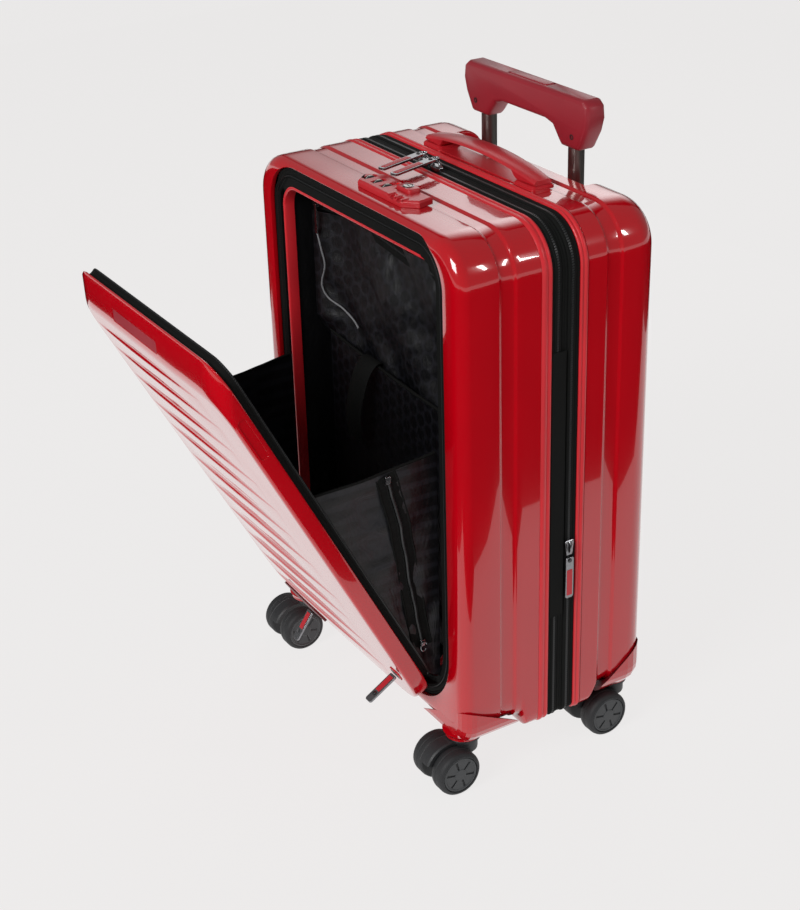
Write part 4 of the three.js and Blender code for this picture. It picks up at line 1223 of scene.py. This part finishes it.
def inset_outline(outline, inset):
    """Moves each side of a closed outline inwards and meets them again at the corners."""
    points = [Vector(p) for p in outline]
    area = sum(a.x * b.y - b.x * a.y for a, b in zip(points, points[1:] + points[:1]))
    sign = 1 if area > 0 else -1
    moved = []
    for i, point in enumerate(points):
        before = (point - points[i - 1]).normalized()
        after = (points[(i + 1) % len(points)] - point).normalized()
        n1, n2 = Vector((-before.y, before.x)) * sign, Vector((-after.y, after.x)) * sign
        moved.append(tuple(point + (n1 + n2) * inset / max(0.5, 1 + n1.dot(n2))))
    return moved


def carry_handle():
    """An arched bar on two posts, each in a foot, with a thin strip between the feet."""
    half, foot, rise, depth, flat_end = 90, 549.0, 9.0, 12.0, 62
    rows = []
    for i in range(49):
        t = 2 * i / 48 - 1
        x = t * half
        crown = rise * (1 - t * t)
        top = foot + 4.5 + crown
        low = foot
        if abs(x) <= flat_end:
            low = min(foot + 5 + crown - rise * (60 / 90) ** 2, foot + (flat_end - abs(x)) * 1.2)
        low = min(low, top - 3.5)
        narrow = depth - 2.4 * abs(t) ** 3
        section = [(-narrow, low + 1.2), (-narrow + 1.4, low), (narrow - 1.4, low), (narrow, low + 1.2),
                   (narrow, top - 2.6), (narrow - 1.2, top - 0.9), (narrow - 3.4, top), (-narrow + 3.4, top),
                   (-narrow + 1.2, top - 0.9), (-narrow, top - 2.6)]
        rows.append(np.array([(x, CARRY_Y + dy, z) for dy, z in section]))
    bar = stack("carry_bar", rows, SATIN_RED, "carry_handle", "satin_red", caps=True, smooth=32,
                stands_for=["carry_handle"])
    bevel(bar, 0.9, 3, 60)
    for side, word in SIDES:
        post = (side * POST_X, CARRY_Y, 0)
        lathe(f"carry_post_{word}", [(4, TOP - 5.5), (4, foot + 2)], 2, post, SCREW_METAL, "carry_handle",
              "satin_red", steps=20, smooth=30)
        centre = np.array([side * 76, CARRY_Y])
        outline = rounded(15.5, -12.6, 12.6, 4, 4, arc=5, straight=2)
        stations = ((TOP - 0.3, 0), (547.0, 0), (547.4, 0.6), (547.5, 1.0), (548.3, 1.0), (548.6, 1.4))
        layers = [flat_loop(centre + outline * (1 - inset / 14), z) for z, inset in stations]
        mount = stack(f"carry_foot_{word}", layers, SATIN_RED, "rear_case", "satin_red", caps=True, smooth=25)
        cut(mount, [lathe("hole", [(4.5, TOP - 3), (4.5, 552)], 2, post, SATIN_RED, steps=20)])
        if side > 0:
            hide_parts("carry_base")
    strap = rounded(64, 33.5, 56.5, 2, 2, arc=3, straight=2)
    layers = [flat_loop(strap, z) for z in (TOP + 0.1, TOP + 1.0)]
    bevel(stack("carry_strip", layers, SATIN_RED, "rear_case", "satin_red", caps=True), 0.3)


# ---------------------------------------------------------------- lock
DIALS_X = (-15, 0, 15)
DIAL_Y, DIAL_Z, DIAL_RADIUS = -71.0, 546.7, 6.0


def flat_loop(outline, z):
    """A loop of (x, y) points at one height."""
    return np.insert(np.array(outline, float), 2, z, axis=1)


def lock():
    """The body with windows for three dials, a block to press with a key cylinder, and a plain red dot."""
    x, y, half, wide, high = 22, -70, 49, 14, 551.5
    corner_points = [(-half, 0), (-half + 12, -wide), (half - 12, -wide), (half, -wide + 12),
                     (half - 4, wide), (-half + 12, wide)]
    outline = [(x + dx, y + dy) for dx, dy in corner_points]
    layers = [flat_loop(outline, 545.05), flat_loop(outline, high - 1.6),
              flat_loop(inset_outline(outline, 1.6), high)]
    body = stack("lock_plate", layers, SATIN_RED, "front_case", "satin_red", caps=True, smooth=25,
                 stands_for=["lock_body"])
    tools = [slab("slit", (dial_x - 3.2, -77.8, 546), (dial_x + 3.2, -64.2, 560), SATIN_RED)
             for dial_x in DIALS_X]
    tools.append(slab("well", (26, -70, 546.5), (50, -56, 560), SATIN_RED))
    for slot_x in (43, 54):
        tools.append(slab("notch", (slot_x - 3, -86, 548.5), (slot_x + 3, -77.5, 560), SATIN_RED))
    cut(body, tools)
    bevel(body, 0.5, 2, 30)
    for rib_x in (38, 48.5, 59):
        bevel(slab(f"lock_rib_{rib_x}", (rib_x - 1.2, -84.5, 550.8), (rib_x + 1.2, -76, 552.6), SATIN_RED,
                   "front_case", "satin_red"), 0.6)
    lathe("lock_mark", [(2.4, 551.2), (2.4, 552.0), (1.8, 552.4), (0.1, 552.5)], 2, (18, -60.5, 0), DOT_RED,
          "front_case", "satin_red", steps=20, smooth=40)
    for number, dial_x in enumerate(DIALS_X, 1):
        dial(number, dial_x)
    key = (38, -63, 0)
    cap = rounded(11.5, -69.5, -56.5, 3, 3, arc=5, straight=2) + (key[0], 0)
    layers = [flat_loop((cap - key[:2]) * share + key[:2], z)
              for share, z in ((1, 547), (1, 553.6), (0.96, 554.5), (0.88, 555))]
    stack("lock_block", layers, SATIN_RED, "lock_button", "satin_red", caps=True, smooth=40,
          stands_for=["lock_button"])
    lathe("lock_key_ring", [(5.2, 554.5), (5.2, 555.5), (4.4, 555.8), (3.4, 555.5), (3.4, 554.5)], 2, key,
          ZIP_METAL, "lock_button", "zip_metal", steps=32, closed=True, smooth=30)
    lathe("lock_key_disc", [(3.4, 554.8), (3.4, 555.4), (0.1, 555.5)], 2, key, WHITE, "lock_button",
          "zip_metal", steps=28, smooth=30)
    # painted shade: the key slit is a flat near-black plate standing for the shaded keyhole
    bevel(slab("lock_key_slit", (36, -63.5, 555.3), (40, -62.5, 555.7), PAINTED_HOLE_SHADE, "lock_button", "zip_metal"), 0.1)


def dial(number, x):
    """A ten-sided wheel with a raised number on each flat."""
    body = f"lock_dial_{number}"
    rows = []
    for dx, radius in ((-2.5, 5.3), (-1.9, DIAL_RADIUS), (1.9, DIAL_RADIUS), (2.5, 5.3)):
        angles = [2 * math.pi * (k + 0.5) / 10 for k in range(10)]
        rows.append(np.array([(x + dx, DIAL_Y + radius * math.sin(a), DIAL_Z + radius * math.cos(a))
                              for a in angles]))
    bevel(stack(f"dial_{number}_wheel", rows, BLACK_PLASTIC, body, "dial_white", caps=True, smooth=20,
                stands_for=[body]), 0.3)
    flat = DIAL_RADIUS * math.cos(math.pi / 10) + 0.05
    for k in range(10):
        curve = bpy.data.curves.new(f"digit_{number}_{k}", "FONT")
        curve.body = str(k)
        curve.size = 4.6 * MM
        curve.extrude = 0.12 * MM
        curve.align_x = "CENTER"
        curve.align_y = "CENTER"
        text = link(f"digit_{number}_{k}", curve)
        angle = 2 * math.pi * k / 10
        centre = Vector(row_point(x, DIAL_Y - flat * math.sin(angle), DIAL_Z + flat * math.cos(angle)))
        text.matrix_world = Matrix.Translation(centre) @ Matrix.Rotation(angle, 4, "X")
        bpy.context.view_layer.update()
        mesh = bpy.data.meshes.new_from_object(text.evaluated_get(bpy.context.evaluated_depsgraph_get()))
        mesh.transform(text.matrix_world)
        bpy.data.objects.remove(text)
        dress(link(f"dial_{number}_digit_{k}", mesh), WHITE, body, "dial_white", 20)


# ---------------------------------------------------------------- sliders
def main_slider(word, x):
    body, z = f"main_slider_{word}", 544.7
    outline = [(-8, -3.4), (-5, -5), (4, -5), (8, -3.2), (8, 1.2), (4, 3), (-5, 3), (-8, 1.4)]
    outline = [(x + dx, y) for dx, y in outline]
    layers = [flat_loop(outline, z), flat_loop(outline, z + 3.6),
              flat_loop(inset_outline(outline, 1.2), z + 5)]
    bevel(stack(body + "_body", layers, ZIP_METAL, body, "zip_metal", caps=True, smooth=30,
                stands_for=[body]), 0.4)
    path = [(-6, 4), (-5.4, 7.6), (-2, 9.2), (2, 9.2), (5.4, 7.6), (6, 4)]
    rod(body + "_bridge", [(x + dx, -1, z + dz) for dx, dz in path], 1.5, ZIP_METAL, body, "zip_metal")


def main_pullers():
    loop = [(3.0 * math.cos(a), -2.5 + 4.6 * math.sin(a), 0.0) for a in np.linspace(0, 2 * math.pi, 20)]
    for word, x in (("left", -34), ("right", -13)):
        main_slider(word, x)
        link_matrix = Matrix.Translation((x, -1, 556.5)) @ Matrix.Rotation(math.radians(18), 4, "Z")
        lying = link_matrix @ Matrix.Rotation(-math.pi / 2, 4, "X") @ Matrix.Translation((0, 0, -5.5))
        puller(f"main_puller_{word}", 56, 8.6, 2.2, lying, insert_first=False)
        rod(f"main_link_{word}", loop, 0.9, ZIP_METAL, f"main_puller_{word}", "zip_metal", sides=8,
            matrix=link_matrix)


def side_slider():
    """The expansion zip's slider, with its puller hanging."""
    x, y, z = HALF_WIDTH - 0.5, 14.0, 232.0
    outline = [(y - 5, z + 6), (y - 3.4, z + 8), (y + 3.4, z + 8), (y + 5, z + 6), (y + 3.2, z - 8),
               (y - 3.2, z - 8)]
    stations = ((x, outline), (x + 2.2, outline), (x + 3.0, inset_outline(outline, 1.0)))
    rows = [np.insert(np.array(loop), 0, level, axis=1) for level, loop in stations]
    bevel(stack("expansion_slider_body", rows, ZIP_METAL, "expansion_slider", "zip_metal", caps=True,
                smooth=30, stands_for=["expansion_slider"]), 0.4)
    path = [(x + 2.0, y, z + 6), (x + 4.6, y, z + 4), (x + 4.8, y, z - 2), (x + 2.4, y, z - 6)]
    rod("expansion_slider_bridge", path, 1.4, ZIP_METAL, "expansion_slider", "zip_metal")
    matrix = Matrix.Translation((179.4, y, 221.6)) @ Matrix.Rotation(math.pi / 2, 4, "Z")
    puller("expansion_puller", 43, 9, 2.4, matrix, insert_first=False)


# ---------------------------------------------------------------- casters
def wheel(name, side, centre):
    """Rubber tyre, a hub cap with six narrow slots and a raised rim."""
    x, y, z = centre

    def outwards(profile):
        return [(radius, x + side * height) for radius, height in profile]

    tyre = [(3.4, 8.5), (18.5, 8.5), (21.5, 8.6), (22.4, 9.6), (23.0, 12), (23.0, 15), (22.6, 15.6),
            (22.6, 16.4),
            (23.0, 17), (23.0, 21.5), (22.4, 23.6), (21, 25.2), (19.4, 25.9), (18.6, 25.6), (18.4, 24.4),
            (3.4, 24.4)]
    lathe(name + "_tyre", outwards(tyre), 0, (0, y, z), RUBBER, name, "wheel_rubber", steps=64, closed=True,
          smooth=30, stands_for=[name])
    hub = [(18.2, 23.0), (18.2, 25.0), (17.4, 25.7), (16.4, 25.7), (15.8, 25.1), (6.4, 25.3), (5.8, 25.9),
           (0.1, 26.0), (0.1, 23.0)]
    cap = lathe(name + "_hub", outwards(hub), 0, (0, y, z), HUB_PLASTIC, name, "wheel_rubber", steps=64,
                smooth=30)
    outline = [(-0.9, 6.2), (0.9, 6.2), (1.3, 15.2), (-1.3, 15.2)]
    slots = []
    for k in range(6):
        turn = Matrix.Translation((0, y, z)) @ Matrix.Rotation(2 * math.pi * k / 6 + 0.3, 4, "X")
        slots.append(prism("slot", outline, x + side * 24.2, x + side * 27, 0, HUB_PLASTIC, matrix=turn))
    cut(cap, slots)


def caster(word, x, y):
    """A fork under a round plate, with a fender over its two wheels."""
    name = f"caster_{word}"
    trail, radius = 19.5, 23.0
    look = (BLACK_PLASTIC, name, "black_plastic")
    web = [(-28.5, 19), (-25, 14.6), (-20, 12.8), (-14.5, 14), (-6, 22), (6, 32), (13, 38), (13, 49.2),
           (-19.5, 49.2), (-25.5, 45), (-28.5, 40)]
    fork = prism(name + "_fork", [(y + dy, z) for dy, z in web], x - 7, x + 7, 0, *look, stands_for=[name],
                 smooth=30)
    bevel(fork, 1.6, 3, 20)
    sweep = np.linspace(math.radians(20), math.radians(165), 14)
    fender = []
    for level, out in ((-7.9, 26.2), (-6.0, 27.4), (6.0, 27.4), (7.9, 26.2)):
        fender.append(np.array([(x + level, y - trail - reach * math.cos(a),
                                 radius + reach * math.sin(a) * 0.94)
                                for reach, angles in ((out, sweep), (21, sweep[::-1])) for a in angles]))
    stack(name + "_fender", fender, *look, caps=True, smooth=30)
    lathe(name + "_plate", [(16, 46.4), (16.6, 46.9), (16.6, 49), (16, 49.6), (6, 49.6), (6, 46.4)], 2,
          (x, y, 0), *look, closed=True, smooth=30)
    lathe(name + "_stem", [(13.6, 34.5), (13.9, 36), (13.9, 46), (15.2, 47)], 2, (x, y, 0), *look, steps=40,
          smooth=30)
    lathe(name + "_axle", [(3, x - 23), (3, x + 23)], 0, (0, y - trail, radius), SCREW_METAL, name,
          "zip_metal", steps=20, smooth=30)
    for side, letter in ((-1, "a"), (1, "b")):
        wheel(f"wheel_{word}_{letter}", side, (x, y - trail, radius))


def bumpers():
    """The corner caps keep the CAD's form; their edges are rounded and the faces that look up or inwards
    carry painted shade in a dark red, where each cap meets the shell. A collar stands between each cap and
    its caster."""
    for end, inwards in (("front", 1), ("rear", -1)):
        for _, word in SIDES:
            solid = frame["nodes"][f"{end}_bumper_{word}"]
            cap = link(f"{end}_cap_{word}", solid.data.copy())
            cap.matrix_world = solid.matrix_world.copy()
            dress(cap, GLOSS_RED, f"{end}_case", "satin_red", 30, [solid.name])
            # painted shade: faces that look up or inwards take the dark red, as if in shade where the cap
            # meets the shell
            cap.data.materials.append(PAINTED_SHADE_RED)
            for face in cap.data.polygons:
                if face.normal.z > 0.3 or face.normal.y * inwards > 0.4:
                    face.material_index = 1
            bevel(cap, 0.5, 2, 35)
    collar = [(17.5, 50.4), (17.5, 52.5), (19.8, 56), (12, 60)]
    for end, y in CASTER_Y.items():
        for side, _ in SIDES:
            lathe(f"caster_seat_{end}_case_{side}", collar, 2, (side * CASTER_X, y, 0), GLOSS_RED,
                  f"{end}_case", "satin_red", smooth=30)


# ---------------------------------------------------------------- stage
def quad(name, half):
    """A square facing up, centred on its own origin."""
    mesh = bpy.data.meshes.new(name)
    mesh.from_pydata([(-half, -half, 0), (half, -half, 0), (half, half, 0), (-half, half, 0)], [],
                     [(0, 1, 2, 3)])
    return link(name, mesh)


def aim(obj, location, target):
    obj.location = location
    obj.rotation_euler = (Vector(target) - Vector(location)).to_track_quat("-Z", "Y").to_euler()


def stage():
    """A pale paper floor, a large soft light on the left and two small ones. All in metres."""
    floor = quad("floor", 12.0)
    material, tree, shader = nodes_of("paper", Base_Color=(0.06, 0.06, 0.06, 1), Roughness=0.9,
                                      Emission_Color=(1.0, 0.985, 0.98, 1), Emission_Strength=0.80,
                                      Specular_IOR_Level=0.1)
    fibre = texture(tree, "Noise", Scale=900.0)
    tree.links.new(bump(tree, fibre, 0.05, 0.0001), shader.inputs["Normal"])
    floor.data.materials.append(material)
    dark_surround()
    world = bpy.context.scene.world or bpy.data.worlds.new("world")
    bpy.context.scene.world = world
    world.use_nodes = True
    background = world.node_tree.nodes["Background"]
    background.inputs["Color"].default_value = PURE_WHITE
    background.inputs["Strength"].default_value = 0.22
    glow("top_left", (-1.5, 1.5, 1.62), (0, 0.1, 0.5), 2.6, 2.1)
    softbox("strip", (1.5, 1.0, 1.35), (0.15, 0.1, 0.5), 0.1, 0.36, 3.0)
    softbox("front", (0.9, -2.4, 2.0), (0, 0, 0.3), 1.2, 1.2, 60)


def dark_surround():
    """Black paper round the bright patch of floor: only reflections see it."""
    hole = [(0.45, -0.45), (0.47, 0.0), (0.62, 0.42), (0.62, 1.2), (-1.1, 1.2), (-1.1, -0.45)]
    rim = [(3, -3), (3, 0), (3, 0.42), (3, 3), (-3, 3), (-3, -3)]
    mesh = bpy.data.meshes.new("dark_surround")
    mesh.from_pydata([(x, y, 0.004) for x, y in hole + rim], [],
                     [(k, (k + 1) % 6, (k + 1) % 6 + 6, k + 6) for k in range(6)])
    paper = link("dark_surround", mesh)
    material, _, _ = nodes_of("dark_paper", Base_Color=(0.006, 0.006, 0.006, 1), Specular_IOR_Level=0.0)
    mesh.materials.append(material)
    paper.visible_camera = False
    paper.visible_diffuse = False
    paper.visible_shadow = False


def glow(name, location, target, size, strength):
    """A soft light whose brightness fades towards its edges."""
    half = size / 2
    obj = quad(name, half)
    aim(obj, location, target)
    material, tree, _ = nodes_of(name)
    tree.nodes.clear()
    fade = texture(tree, "Gradient", stretch=(1 / half, 1 / half, 1), gradient_type="SPHERICAL")
    shaped = ramp(tree, fade, [(0.0, BLACK), (0.25, (0.12, 0.12, 0.12, 1)), (0.8, PURE_WHITE)])
    light = add(tree, "ShaderNodeEmission", [("Color", shaped)], Strength=strength)
    add(tree, "ShaderNodeOutputMaterial", [("Surface", light.outputs["Emission"])])
    obj.data.materials.append(material)
    obj.visible_camera = False


def softbox(name, location, target, width, height, watts):
    light = bpy.data.lights.new(name, "AREA")
    light.shape = "RECTANGLE"
    light.size = width
    light.size_y = height
    light.energy = watts
    aim(link(name, light), location, target)


def camera():
    azimuth, elevation, roll = math.radians(59.27), math.radians(26.70), math.radians(-1.76)
    distance = 1.7272
    target = Vector(row_point(-19.75, -45.69, 261.48))
    back = Vector((math.sin(azimuth) * math.cos(elevation), -math.cos(azimuth) * math.cos(elevation),
                   math.sin(elevation)))
    right = Vector((math.cos(azimuth), math.sin(azimuth), 0))
    up = back.cross(right)
    right_rolled = right * math.cos(roll) + up * math.sin(roll)
    up_rolled = up * math.cos(roll) - right * math.sin(roll)
    lens = bpy.data.cameras.new("camera")
    lens.sensor_fit = "AUTO"
    lens.sensor_width = 36.0
    lens.lens = 69.48
    lens.dof.use_dof = False
    obj = link("camera", lens)
    turn = Matrix((right_rolled, up_rolled, back)).transposed()
    obj.matrix_world = Matrix.Translation(target + back * distance) @ turn.to_4x4()
    bpy.context.scene.camera = obj


# ---------------------------------------------------------------- build
front_shell()
rear_shell()
trims()
bands()
zips()
expansion_gusset()
hinge_strip()
pocket_rims()
pocket_inside()
interior_zip()
laptop_sleeve()
linings()
lid_face()
lid_shell()
lid_edge()
lid_pullers()
gussets()
trolley()
grip()
carry_handle()
lock()
main_pullers()
side_slider()
for side, word in SIDES:
    for end, y in CASTER_Y.items():
        caster(f"{end}_{word}", side * CASTER_X, y)
# the lid's face doesn't mirror what stands next to it
for obj in bpy.data.objects:
    if obj.type == "MESH" and ("front_left" in obj.name or "lid_puller_left" in obj.name):
        obj.visible_glossy = False
bumpers()
stage()
camera()
bpy.context.scene.view_settings.view_transform = "Standard"
